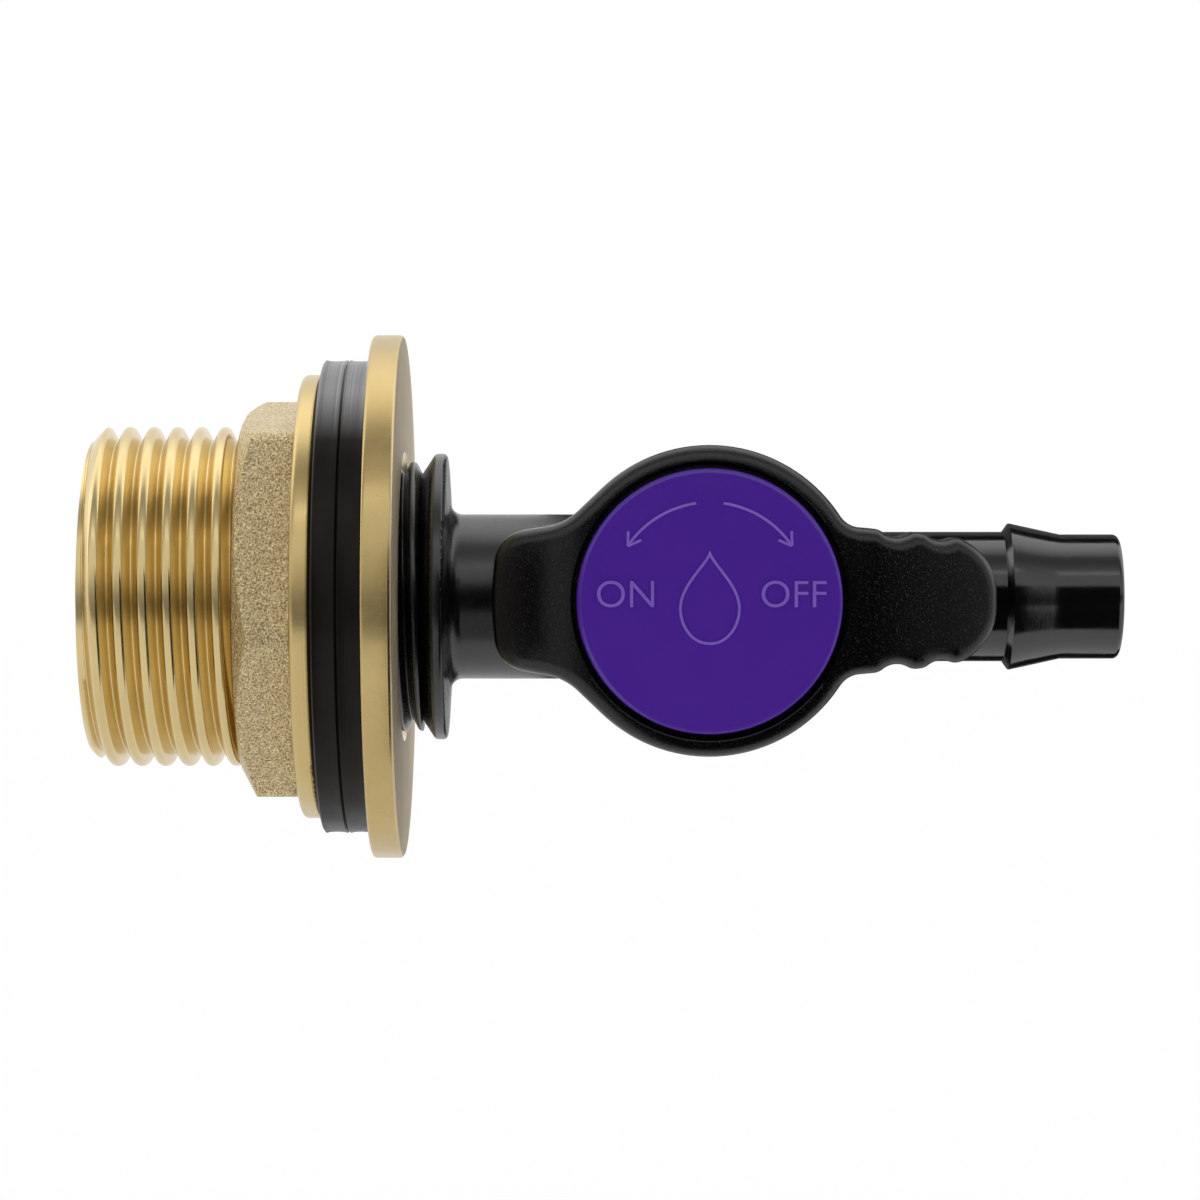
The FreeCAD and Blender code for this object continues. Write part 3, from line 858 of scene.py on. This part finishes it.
def rubber_material(finishes):
    """Black rubber with the fine rings of its cut edge, a dusty bloom, and a shine on top of its rim."""
    material, tree, shader = new_material("Washer rubber")
    rings = place_group(tree, "Turned rings", Rings_per_metre=7000.0)
    bloom = place_group(tree, "Handling", Patches_per_metre=400.0, Low=0.0, High=1.0)
    handling = place_group(tree, "Handling", Patches_per_metre=300.0, Low=0.28, High=0.42)
    black = tuple(finishes.rubber)
    grey = shaded(black, 2.0, 2.0, 2.0)
    tree.links.new(mix_node(tree, bloom.outputs[0], black, grey), shader.inputs["Base Color"])
    tree.links.new(handling.outputs[0], shader.inputs["Roughness"])
    shader.inputs["Specular IOR Level"].default_value = 0.17
    split = tree.nodes.new("ShaderNodeSeparateXYZ")
    tree.links.new(object_place(tree), split.inputs[0])
    upper = mask_node(tree, split.outputs[2], none=0.0150, full=0.0195)
    streaks = range_node(tree, rings.outputs[0], 0.35, 0.65, 0.50, 1.0)
    radius = flow_place(tree)[1]
    on_rim = mask_node(tree, radius, none=WASHER_HIGH.z - 0.0008, full=WASHER_HIGH.z - 0.0004)
    polish = math_node(tree, "MULTIPLY", math_node(tree, "MULTIPLY", upper, streaks), on_rim)
    tree.links.new(polish, shader.inputs["Coat Weight"])
    shader.inputs["Coat Roughness"].default_value = 0.35
    shader.inputs["Coat IOR"].default_value = 2.4
    add_bump(tree, shader, rings.outputs[0], strength=0.5, distance=0.00008)
    return material


def body_material(finishes):
    """Black moulded plastic, satin at the neck and glossy at the tail."""
    material, tree, shader = new_material("Body plastic")
    along = flow_place(tree)[0]
    satin = range_node(tree, along, 0.018, 0.030, 0.15, 0.0)
    handling = place_group(tree, "Handling", Patches_per_metre=240.0, Low=0.09, High=0.16)
    grain = place_group(tree, "Fine grain", Grains_per_metre=5200.0)
    waves = place_group(tree, "Handling", Patches_per_metre=130.0, Low=0.0, High=1.0)
    black = tuple(finishes.body_black)
    dusty = shaded(black, 1.9, 1.9, 1.9)
    thin = 0.35
    dust = math_node(tree, "MULTIPLY", grain.outputs[1], thin)
    tree.links.new(mix_node(tree, dust, black, dusty), shader.inputs["Base Color"])
    rough = math_node(tree, "ADD", handling.outputs[0], satin)
    tree.links.new(rough, shader.inputs["Roughness"])
    shader.inputs["Specular IOR Level"].default_value = 0.80
    slow = add_bump(tree, shader, waves.outputs[0], strength=0.10, distance=0.00012)
    add_bump(tree, shader, grain.outputs[0], strength=0.12, distance=0.00003, under=slow)
    return material


def handle_material(finishes):
    """Black moulded plastic with a fine spark texture; single grains get a lighter colour as painted
    highlights.
    """
    material, tree, shader = new_material("Handle plastic")
    grain = place_group(tree, "Fine grain", Grains_per_metre=5200.0)
    painted_glint = place_group(tree, "Fine grain", Grains_per_metre=2300.0)
    handling = place_group(tree, "Handling", Patches_per_metre=140.0, Low=0.20, High=0.27)
    black = tuple(finishes.handle_black)
    bright = shaded(black, 16.0, 16.0, 16.0)
    # Painted highlights: single grains take a colour sixteen times lighter than the black.
    share = mask_node(tree, painted_glint.outputs[1], none=0.80, full=1.0)
    tree.links.new(mix_node(tree, share, black, bright), shader.inputs["Base Color"])
    tree.links.new(handling.outputs[0], shader.inputs["Roughness"])
    shader.inputs["Specular IOR Level"].default_value = 0.48
    add_bump(tree, shader, grain.outputs[0], strength=0.45, distance=0.00005)
    return material


def cap_material(name, colour):
    """Glossy coloured plastic, faintly uneven."""
    material, tree, shader = new_material(name)
    handling = place_group(tree, "Handling", Patches_per_metre=200.0, Low=0.17, High=0.21)
    shade = place_group(tree, "Handling", Patches_per_metre=120.0, Low=0.0, High=1.0)
    grain = place_group(tree, "Fine grain", Grains_per_metre=4200.0)
    deep = shaded(colour, 0.95, 0.93, 0.96)
    tree.links.new(mix_node(tree, shade.outputs[0], colour, deep), shader.inputs["Base Color"])
    tree.links.new(handling.outputs[0], shader.inputs["Roughness"])
    add_bump(tree, shader, grain.outputs[0], strength=0.04, distance=0.00002)
    return material


def inner_material(finishes):
    """Natural moulded plastic of the working parts inside."""
    material, tree, shader = new_material("Inner plastic")
    handling = place_group(tree, "Handling", Patches_per_metre=180.0, Low=0.35, High=0.50)
    shade = place_group(tree, "Handling", Patches_per_metre=150.0, Low=0.0, High=1.0)
    white = tuple(finishes.inner_white)
    cream = shaded(white, 0.94, 0.92, 0.86)
    tree.links.new(mix_node(tree, shade.outputs[0], white, cream), shader.inputs["Base Color"])
    tree.links.new(handling.outputs[0], shader.inputs["Roughness"])
    grain = place_group(tree, "Fine grain", Grains_per_metre=3000.0)
    add_bump(tree, shader, grain.outputs[0], strength=0.06, distance=0.00004)
    return material


def screw_material(finishes):
    """Stainless steel of the hidden screw."""
    material, tree, shader = new_material("Stainless steel")
    handling = place_group(tree, "Handling", Patches_per_metre=500.0, Low=0.22, High=0.38)
    shade = place_group(tree, "Handling", Patches_per_metre=300.0, Low=0.0, High=1.0)
    steel = tuple(finishes.stainless)
    dull = shaded(steel, 0.85, 0.85, 0.85)
    tree.links.new(mix_node(tree, shade.outputs[0], steel, dull), shader.inputs["Base Color"])
    tree.links.new(handling.outputs[0], shader.inputs["Roughness"])
    shader.inputs["Metallic"].default_value = 1.0
    grain = place_group(tree, "Fine grain", Grains_per_metre=6000.0)
    add_bump(tree, shader, grain.outputs[0], strength=0.05, distance=0.00003)
    return material


class TAP_OT_finishes(bpy.types.Operator):
    """Make the shared node groups and the materials of all pieces"""

    bl_idname = "tap.finishes"
    bl_label = "Make Finishes"

    def execute(self, context):
        make_turned_rings()
        make_fine_grain()
        make_handling()
        finishes = context.scene.tap_finishes
        brass_material(finishes)
        nut_material(finishes)
        rubber_material(finishes)
        body_material(finishes)
        handle_material(finishes)
        cap_material("Cap plastic", tuple(finishes.cap_purple))
        # The marks get the paler purple: a painted highlight.
        cap_material("Cap marks", tuple(finishes.painted_highlight_mark_purple))
        inner_material(finishes)
        screw_material(finishes)
        return {"FINISHED"}


class TAP_OT_spigot(bpy.types.Operator):
    """Turn the brass tank outlet and cut its outside thread"""

    bl_idname = "tap.spigot"
    bl_label = "Brass Tank Outlet"

    def execute(self, context):
        sizes = context.scene.tap_sizes
        end = SPIGOT_LOW.x
        face = SPIGOT_HIGH.x
        back = WASHER_HIGH.x
        form, depth = thread_form(sizes.spigot_pitch, sizes.spigot_crest_round, sizes.spigot_root_round)
        below_roots = 0.0001
        run_out = 0.0002
        turns_before = 7
        bore_edge = 0.0002
        mouth_edge = 0.0001
        core = sizes.spigot_radius - depth - below_roots
        floor = face - sizes.socket_depth
        outlet = turned_on_flow("tank_outlet", [
            (end, sizes.bore_radius, bore_edge),
            (end, core),
            (back, core),
            (back, SPIGOT_HIGH.z, sizes.flange_edge),
            (face, SPIGOT_HIGH.z, sizes.flange_edge),
            (face, sizes.socket_radius + sizes.socket_mouth, mouth_edge),
            (face - sizes.socket_mouth, sizes.socket_radius),
            (floor, sizes.socket_radius),
            (floor, sizes.bore_radius),
        ], around=192)
        first = sizes.spigot_crest_x - turns_before * sizes.spigot_pitch
        skin = threaded_skin(
            "spigot_thread",
            form,
            sizes.spigot_pitch,
            first,
            sizes.spigot_radius,
            turns=15,
            around=128,
        )
        ends = (end, back - run_out)
        cut_to_length(skin, *ends)
        turn_lead(skin, end, sizes.spigot_lead, sizes.spigot_radius)
        wall_to_radius(skin, ends, core)
        tidy_mesh(skin, angle=40.0)
        outlet = join_pieces(outlet, skin)
        finish_piece(outlet, bpy.data.materials["Turned brass"], "fitting", "brass", "flanged_spigot")
        return {"FINISHED"}


class TAP_OT_backnut(bpy.types.Operator):
    """Dress the backnut and wind the thread inside it"""

    bl_idname = "tap.backnut"
    bl_label = "Brass Backnut"

    def execute(self, context):
        sizes = context.scene.tap_sizes
        brass = bpy.data.materials["Backnut brass"]
        nut = merged_copy("backnut", "cast_backnut", angle=24.0)
        finish_piece(nut, brass, "nut", "cast_brass", "backnut")
        room = 0.00006
        back_wall = 0.00013
        turns_before = 7
        inset_low = 0.0003
        inset_high = 0.0001
        form = thread_form(sizes.spigot_pitch, sizes.spigot_crest_round, sizes.spigot_root_round)[0]
        first = sizes.spigot_crest_x - turns_before * sizes.spigot_pitch
        radius = sizes.spigot_radius + room
        skin = threaded_skin("backnut_thread", form, sizes.spigot_pitch, first, radius, turns=15, around=96)
        ends = (NUT_LOW.x + inset_low, NUT_HIGH.x - inset_high)
        cut_to_length(skin, *ends)
        wall_to_radius(skin, ends, sizes.spigot_radius + back_wall)
        tidy_mesh(skin, angle=40.0)
        finish_piece(skin, brass, "nut", "cast_brass")
        return {"FINISHED"}


class TAP_OT_washers(bpy.types.Operator):
    """Turn the two rubber washers with their cut rims and thin lips"""

    bl_idname = "tap.washers"
    bl_label = "Rubber Washers"

    def execute(self, context):
        rubber = bpy.data.materials["Washer rubber"]
        bore_room = 0.0003
        bore = context.scene.tap_sizes.spigot_radius + bore_room
        lip_in = 0.00016
        lip_round = 0.00008
        lip_edge = 0.00022
        hollow_in = 0.00042
        hollow_edge = 0.00009
        hollow_middle = 0.00013
        for node, name, body in (
            ("inner_washer", "tank_side_washer", "tank_washer"),
            ("outer_washer", "outer_side_washer", "fitting"),
        ):
            low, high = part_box(node)
            rim = high.z
            middle = (low.x + high.x) / 2
            washer = turned_on_flow(name, [
                (low.x, bore),
                (low.x, rim - lip_edge),
                (low.x + lip_in, rim, lip_round),
                (low.x + hollow_in, rim - hollow_edge),
                (middle, rim - hollow_middle),
                (high.x - hollow_in, rim - hollow_edge),
                (high.x - lip_in, rim, lip_round),
                (high.x, rim - lip_edge),
                (high.x, bore),
            ], around=192)
            finish_piece(washer, rubber, body, "rubber", node)
        return {"FINISHED"}


class TAP_OT_valve_body(bpy.types.Operator):
    """Cut the stub off the moulded body and wind a threaded one in its place"""

    bl_idname = "tap.valve_body"
    bl_label = "Valve Body"

    def execute(self, context):
        sizes = context.scene.tap_sizes
        plastic = bpy.data.materials["Body plastic"]
        body = merged_copy("valve_body", "valve_moulding", angle=30.0)
        edit_all(body)
        bpy.ops.mesh.bisect(
            plane_co=(sizes.stub_root_x, 0, 0),
            plane_no=(1, 0, 0),
            use_fill=False,
            clear_inner=True,
            threshold=CUT_WITHIN,
        )
        bpy.ops.mesh.select_all(action="DESELECT")
        select_points(body, lambda place: abs(place.x - sizes.stub_root_x) < JOIN_WITHIN)
        bpy.ops.mesh.bridge_edge_loops()
        bpy.ops.object.mode_set(mode="OBJECT")
        crest_round = sizes.stub_pitch * 0.24
        root_round = sizes.stub_pitch * 0.06
        overlap = 0.00005
        way_edge = 0.0002
        way_taper = 0.004
        lead = 0.0012
        turns_before = 8
        form, depth = thread_form(sizes.stub_pitch, crest_round, root_round)
        core = sizes.stub_radius - depth - overlap
        end = BODY_LOW.x
        root = sizes.stub_root_x
        stub = turned_on_flow("stub_core", [
            (end, sizes.stub_core_radius, way_edge),
            (end, core),
            (root + overlap, core),
            (root + overlap, sizes.inlet_way_radius),
            (root, sizes.inlet_way_radius),
            (root - way_taper, sizes.stub_core_radius),
        ], around=128)
        first = sizes.stub_crest_x - turns_before * sizes.stub_pitch
        skin = threaded_skin(
            "stub_thread",
            form,
            sizes.stub_pitch,
            first,
            sizes.stub_radius,
            turns=10,
            around=128,
        )
        cut_to_length(skin, end, root)
        turn_lead(skin, end, lead, sizes.stub_radius)
        wall_to_radius(skin, (end, root), core)
        tidy_mesh(skin, angle=40.0)
        body = join_pieces(body, stub, skin)
        finish_piece(body, plastic, "fitting", "body_plastic", "valve_body")
        return {"FINISHED"}


class TAP_OT_handle(bpy.types.Operator):
    """Dress the moulded lever"""

    bl_idname = "tap.handle"
    bl_label = "Lever Handle"

    def execute(self, context):
        sizes = context.scene.tap_sizes
        smooth = 32.0
        near_top = 1e-5
        near_edge = 2e-5
        handle = merged_copy("handle", "lever_handle", angle=smooth)
        top_y = min(point.co.y for point in handle.data.vertices)
        bpy.ops.object.mode_set(mode="EDIT")
        bpy.ops.mesh.select_all(action="DESELECT")
        select_points(handle, lambda place: (
            abs(place.y - top_y) < near_top
            and abs(math.hypot(place.x - STEM_X, place.z) - sizes.recess_radius) < near_edge
        ))
        bpy.ops.mesh.bevel(offset=sizes.recess_edge, offset_type="OFFSET", segments=3, affect="EDGES")
        bpy.ops.object.mode_set(mode="OBJECT")
        bpy.ops.object.shade_smooth_by_angle(angle=math.radians(smooth))
        finish_piece(handle, bpy.data.materials["Handle plastic"], "lever", "handle_plastic", "handle")
        return {"FINISHED"}


def place_on_cap(piece, radius, angle, lean):
    """Lays a flat mesh on the cap's face, at an angle on a circle about the stem axis, turned by a lean."""
    spot = Vector((STEM_X + radius * math.cos(angle), CAP_FACE_Y, radius * math.sin(angle)))
    upright = Matrix.Rotation(math.pi / 2, 4, "X")
    turn = Matrix.Rotation(-lean, 4, "Y")
    piece.matrix_world = Matrix.Translation(spot) @ turn @ upright
    take_up(piece)
    apply_place()


def raised_word(word, size, line, radius, angle):
    """A word in thin raised letters, upright on a circle about the stem axis."""
    clear_selection()
    bpy.ops.object.text_add()
    piece = bpy.context.object
    piece.data.body = word
    piece.data.align_x = "CENTER"
    piece.data.align_y = "CENTER"
    piece.data.size = size
    piece.data.fill_mode = "BOTH"
    piece.data.offset = -line * 0.3
    piece.data.extrude = line * 0.8
    piece.data.bevel_depth = line * 0.2
    piece.data.bevel_resolution = 1
    piece.data.resolution_u = 6
    take_up(piece)
    bpy.ops.object.convert(target="MESH")
    piece = bpy.context.object
    place_on_cap(piece, radius, angle, lean=0.0)
    return piece


def raised_arc(radius, start, end, line):
    """A raised line along a circle about the stem axis, from one angle to another."""
    clear_selection()
    bpy.ops.mesh.primitive_circle_add(
        vertices=16,
        radius=line,
        fill_type="NGON",
        location=(STEM_X + radius, CAP_FACE_Y, 0),
    )
    piece = bpy.context.object
    apply_place()
    edit_all(piece)
    bpy.ops.mesh.spin(
        steps=48,
        angle=end - start,
        center=(STEM_X, CAP_FACE_Y, 0),
        axis=(0, 1, 0),
    )
    bpy.ops.object.mode_set(mode="OBJECT")
    to_stem = Matrix.Translation((STEM_X, 0, 0))
    piece.matrix_world = to_stem @ Matrix.Rotation(-start, 4, "Y") @ to_stem.inverted()
    take_up(piece)
    apply_place()
    return piece


def raised_head(radius, angle, heading, size, line):
    """A raised arrow head, drawn as two short round bars that meet at its point."""
    bars = []
    spread = math.radians(32)
    for side in (1, -1):
        clear_selection()
        bpy.ops.mesh.primitive_cylinder_add(
            vertices=12,
            radius=line,
            depth=size,
            rotation=(0, math.pi / 2, 0),
        )
        bar = bpy.context.object
        apply_place()
        edit_all(bar)
        bpy.ops.transform.translate(value=(-size / 2, 0, 0))
        bpy.ops.object.mode_set(mode="OBJECT")
        ends = bar.modifiers.new("Round ends", "BEVEL")
        ends.width = line * 0.6
        ends.segments = 2
        take_up(bar)
        bpy.ops.object.modifier_apply(modifier=ends.name)
        place_on_cap(bar, radius, angle, heading + side * spread)
        bars.append(bar)
    return bars


def raised_drop(size, line):
    """A drop of water drawn as a raised outline in the middle of the cap."""
    clear_selection()
    bpy.ops.curve.primitive_bezier_circle_add(radius=size)
    piece = bpy.context.object
    piece.data.dimensions = "2D"
    points = piece.data.splines[0].bezier_points
    top = max(points, key=lambda point: point.co.y)
    top.handle_left_type = "FREE"
    top.handle_right_type = "FREE"
    top.co.y = size * 2.1
    top.handle_left = (-size * 0.18, size * 1.62, 0)
    top.handle_right = (size * 0.18, size * 1.62, 0)
    piece.data.fill_mode = "NONE"
    piece.data.bevel_depth = line
    piece.data.bevel_resolution = 2
    piece.data.resolution_u = 16
    take_up(piece)
    bpy.ops.object.convert(target="MESH")
    piece = bpy.context.object
    place_on_cap(piece, size * 0.45, -math.pi / 2, lean=0.0)
    return piece


class TAP_OT_cap(bpy.types.Operator):
    """Dress the round cap and raise its turning marks"""

    bl_idname = "tap.cap"
    bl_label = "Handle Cap"

    def execute(self, context):
        sizes = context.scene.tap_sizes
        purple = bpy.data.materials["Cap plastic"]
        cap = merged_copy("handle_cap", "round_cap", angle=30.0)
        finish_piece(cap, purple, "lever", "cap_plastic", "handle_cap")
        line = sizes.mark_height
        circle = sizes.arrow_circle
        pieces = [raised_drop(sizes.drop_size, line)]
        for word, angle in WORDS:
            pieces.append(raised_word(word, sizes.letter_size, line, sizes.word_circle, math.radians(angle)))
        for arrow in ARROWS:
            start, end, heading = (math.radians(angle) for angle in arrow)
            pieces.append(raised_arc(circle, start, end, line))
            tip = end if heading > 0 else start
            pieces.extend(raised_head(circle, tip, heading, sizes.arrow_head, line))
        marks = join_pieces(pieces[0], *pieces[1:])
        marks.name = "cap_marks"
        marks.data.name = "cap_marks"
        tidy_mesh(marks, angle=50.0)
        finish_piece(marks, bpy.data.materials["Cap marks"], "lever", "cap_plastic")
        return {"FINISHED"}


class TAP_OT_inner_works(bpy.types.Operator):
    """Dress the pieces that work inside the valve"""

    bl_idname = "tap.inner_works"
    bl_label = "Inner Works"

    def execute(self, context):
        dressed = {
            "socket_washer": "Washer rubber",
            "seal_sleeve": "Inner plastic",
            "spindle": "Inner plastic",
            "thrust_washer": "Inner plastic",
            "bonnet": "Body plastic",
            "bonnet_o_ring": "Washer rubber",
            "stem_o_ring_lower": "Washer rubber",
            "stem_o_ring_upper": "Washer rubber",
            "handle_screw": "Stainless steel",
        }
        for node, material in dressed.items():
            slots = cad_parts[node].data.materials
            slots.clear()
            slots.append(bpy.data.materials[material])
        return {"FINISHED"}


def lamp(name, place, aim, width, height, power):
    """A rectangular soft light that faces a point."""
    clear_selection()
    bpy.ops.object.light_add(type="AREA", location=place)
    light = bpy.context.object
    light.name = name
    light.data.shape = "RECTANGLE"
    light.data.size = width
    light.data.size_y = height
    light.data.energy = power
    light.rotation_euler = (Vector(aim) - Vector(place)).to_track_quat("-Z", "Y").to_euler()


def make_world():
    """White for the camera and for gloss that looks far back; for the rest a room with its own light."""
    brightest = 2.0
    world = bpy.data.worlds.new("Studio")
    bpy.context.scene.world = world
    world.use_nodes = True
    tree = world.node_tree
    tree.nodes.clear()
    out = tree.nodes.new("ShaderNodeOutputWorld")
    white = tree.nodes.new("ShaderNodeBackground")
    white.inputs["Color"].default_value = (1.0, 1.0, 1.0, 1.0)
    room = tree.nodes.new("ShaderNodeBackground")
    room.inputs["Strength"].default_value = brightest
    mix = tree.nodes.new("ShaderNodeMixShader")
    rays = tree.nodes.new("ShaderNodeLightPath")
    coordinate = tree.nodes.new("ShaderNodeTexCoord")
    split = tree.nodes.new("ShaderNodeSeparateXYZ")
    tree.links.new(coordinate.outputs["Generated"], split.inputs[0])
    forward = math_node(tree, "MULTIPLY", split.outputs[1], -1.0)
    rise = math_node(tree, "ARCTAN2", split.outputs[2], forward)
    ramp = tree.nodes.new("ShaderNodeValToRGB")
    steps = ramp.color_ramp.elements
    for number, (angle, level) in enumerate(ROOM_LIGHT):
        place = (angle + 180.0) / 360.0
        step = steps[number] if number < 2 else steps.new(place)
        step.position = place
        share = level / brightest
        step.color = (share, share, share, 1.0)
    tree.links.new(mask_node(tree, rise, none=-math.pi, full=math.pi), ramp.inputs[0])
    tree.links.new(ramp.outputs[0], room.inputs["Color"])
    seen = math_node(tree, "MAXIMUM", rays.outputs["Is Camera Ray"], rays.outputs["Is Transmission Ray"])
    behind = mask_node(tree, split.outputs[1], none=0.45, full=0.80)
    glossy = math_node(tree, "MULTIPLY", rays.outputs["Is Glossy Ray"], behind)
    seen = math_node(tree, "MAXIMUM", seen, glossy)
    tree.links.new(seen, mix.inputs[0])
    tree.links.new(room.outputs[0], mix.inputs[1])
    tree.links.new(white.outputs[0], mix.inputs[2])
    tree.links.new(mix.outputs[0], out.inputs[0])


def make_matt(shader, grey):
    """Sets a shader to a plain matt grey."""
    shader.inputs["Base Color"].default_value = (grey, grey, grey, 1.0)
    shader.inputs["Roughness"].default_value = 0.9
    shader.inputs["Specular IOR Level"].default_value = 0.0


def floor_material():
    """White floor that keeps a soft shadow."""
    gloss_level = 0.88
    glow_share = 0.7
    material, tree, shader = new_material("Studio floor")
    make_matt(shader, grey=0.9)
    glow = tree.nodes.new("ShaderNodeEmission")
    mix = tree.nodes.new("ShaderNodeMixShader")
    rays = tree.nodes.new("ShaderNodeLightPath")
    seen = math_node(tree, "MAXIMUM", rays.outputs["Is Camera Ray"], rays.outputs["Is Transmission Ray"])
    glossy = rays.outputs["Is Glossy Ray"]
    seen = math_node(tree, "MAXIMUM", seen, glossy)
    tree.links.new(range_node(tree, glossy, 0.0, 1.0, 1.0, gloss_level), glow.inputs["Strength"])
    tree.links.new(math_node(tree, "MULTIPLY", seen, glow_share), mix.inputs[0])
    tree.links.new(shader.outputs[0], mix.inputs[1])
    tree.links.new(glow.outputs[0], mix.inputs[2])
    tree.links.new(mix.outputs[0], tree.nodes["Material Output"].inputs[0])
    return material


def gloss_card(name, ends, near, far, grey):
    """A card out of the picture, from one edge to another, that shows only in the gloss of the plastic."""
    clear_selection()
    bpy.ops.mesh.primitive_plane_add(size=1.0)
    card = bpy.context.object
    card.name = name
    across = Vector(far) - Vector(near)
    middle = (Vector(far) + Vector(near)) / 2
    card.scale = (ends[1] - ends[0], across.length, 1.0)
    card.rotation_euler = (math.atan2(across.y, across.x), 0, 0)
    card.location = ((ends[0] + ends[1]) / 2, middle.x, middle.y)
    apply_place()
    material, _, shader = new_material(name)
    make_matt(shader, grey)
    card.data.materials.append(material)
    card.visible_camera = False
    card.visible_diffuse = False
    card.visible_shadow = False


class TAP_OT_stage(bpy.types.Operator):
    """Set the floor, cards, lamp, surroundings and camera"""

    bl_idname = "tap.stage"
    bl_label = "Studio"

    def execute(self, context):
        studio = context.scene.tap_studio
        clear_selection()
        floor_size = 2.4
        floor_place = (0, floor_size / 2 - studio.floor_front, studio.floor_z)
        bpy.ops.mesh.primitive_plane_add(size=floor_size, location=floor_place)
        floor = context.object
        floor.name = "studio_floor"
        floor.data.materials.append(floor_material())
        for name, card in CARDS.items():
            gloss_card(name, *card)
        make_world()
        aim = (studio.camera_x, 0, 0)
        lamp("front_strip_light", (0.03, -0.46, 0.46), aim, width=0.70, height=0.07, power=0.12)
        reach = studio.camera_distance
        rise = studio.camera_rise
        place = Vector((studio.camera_x, -reach * math.cos(rise), studio.target_z + reach * math.sin(rise)))
        bpy.ops.object.camera_add(location=place)
        camera = context.object
        camera.name = "photo_camera"
        target = Vector((studio.camera_x, 0, studio.target_z))
        camera.rotation_euler = (target - place).to_track_quat("-Z", "Y").to_euler()
        sensor_width = 36.0
        camera.data.sensor_width = sensor_width
        camera.data.lens = sensor_width * reach / studio.frame_width
        camera.data.clip_start = 0.01
        context.scene.camera = camera
        context.scene.view_settings.view_transform = "Standard"
        return {"FINISHED"}


class TAP_PT_sidebar(bpy.types.Panel):
    """Sizes, colours and steps of the tap"""

    bl_idname = "TAP_PT_sidebar"
    bl_label = "Water Butt Tap"
    bl_space_type = "VIEW_3D"
    bl_region_type = "UI"
    bl_category = "Tap"

    def draw(self, context):
        layout = self.layout
        for step in STEPS:
            layout.operator(step.bl_idname)
        for group in (context.scene.tap_sizes, context.scene.tap_finishes, context.scene.tap_studio):
            box = layout.box()
            for name in group.__annotations__:
                box.prop(group, name)


STEPS = (
    TAP_OT_finishes,
    TAP_OT_spigot,
    TAP_OT_backnut,
    TAP_OT_washers,
    TAP_OT_valve_body,
    TAP_OT_handle,
    TAP_OT_cap,
    TAP_OT_inner_works,
    TAP_OT_stage,
)
CLASSES = (TapSizes, TapFinishes, TapStudio) + STEPS + (TAP_PT_sidebar,)


def register():
    for item in CLASSES:
        bpy.utils.register_class(item)
    bpy.types.Scene.tap_sizes = bpy.props.PointerProperty(type=TapSizes)
    bpy.types.Scene.tap_finishes = bpy.props.PointerProperty(type=TapFinishes)
    bpy.types.Scene.tap_studio = bpy.props.PointerProperty(type=TapStudio)


def unregister():
    del bpy.types.Scene.tap_studio
    del bpy.types.Scene.tap_finishes
    del bpy.types.Scene.tap_sizes
    for item in reversed(CLASSES):
        bpy.utils.unregister_class(item)


def main():
    register()
    bpy.ops.tap.finishes()
    bpy.ops.tap.spigot()
    bpy.ops.tap.backnut()
    bpy.ops.tap.washers()
    bpy.ops.tap.valve_body()
    bpy.ops.tap.handle()
    bpy.ops.tap.cap()
    bpy.ops.tap.inner_works()
    bpy.ops.tap.stage()
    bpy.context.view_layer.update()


if __name__ == "__main__":
    main()
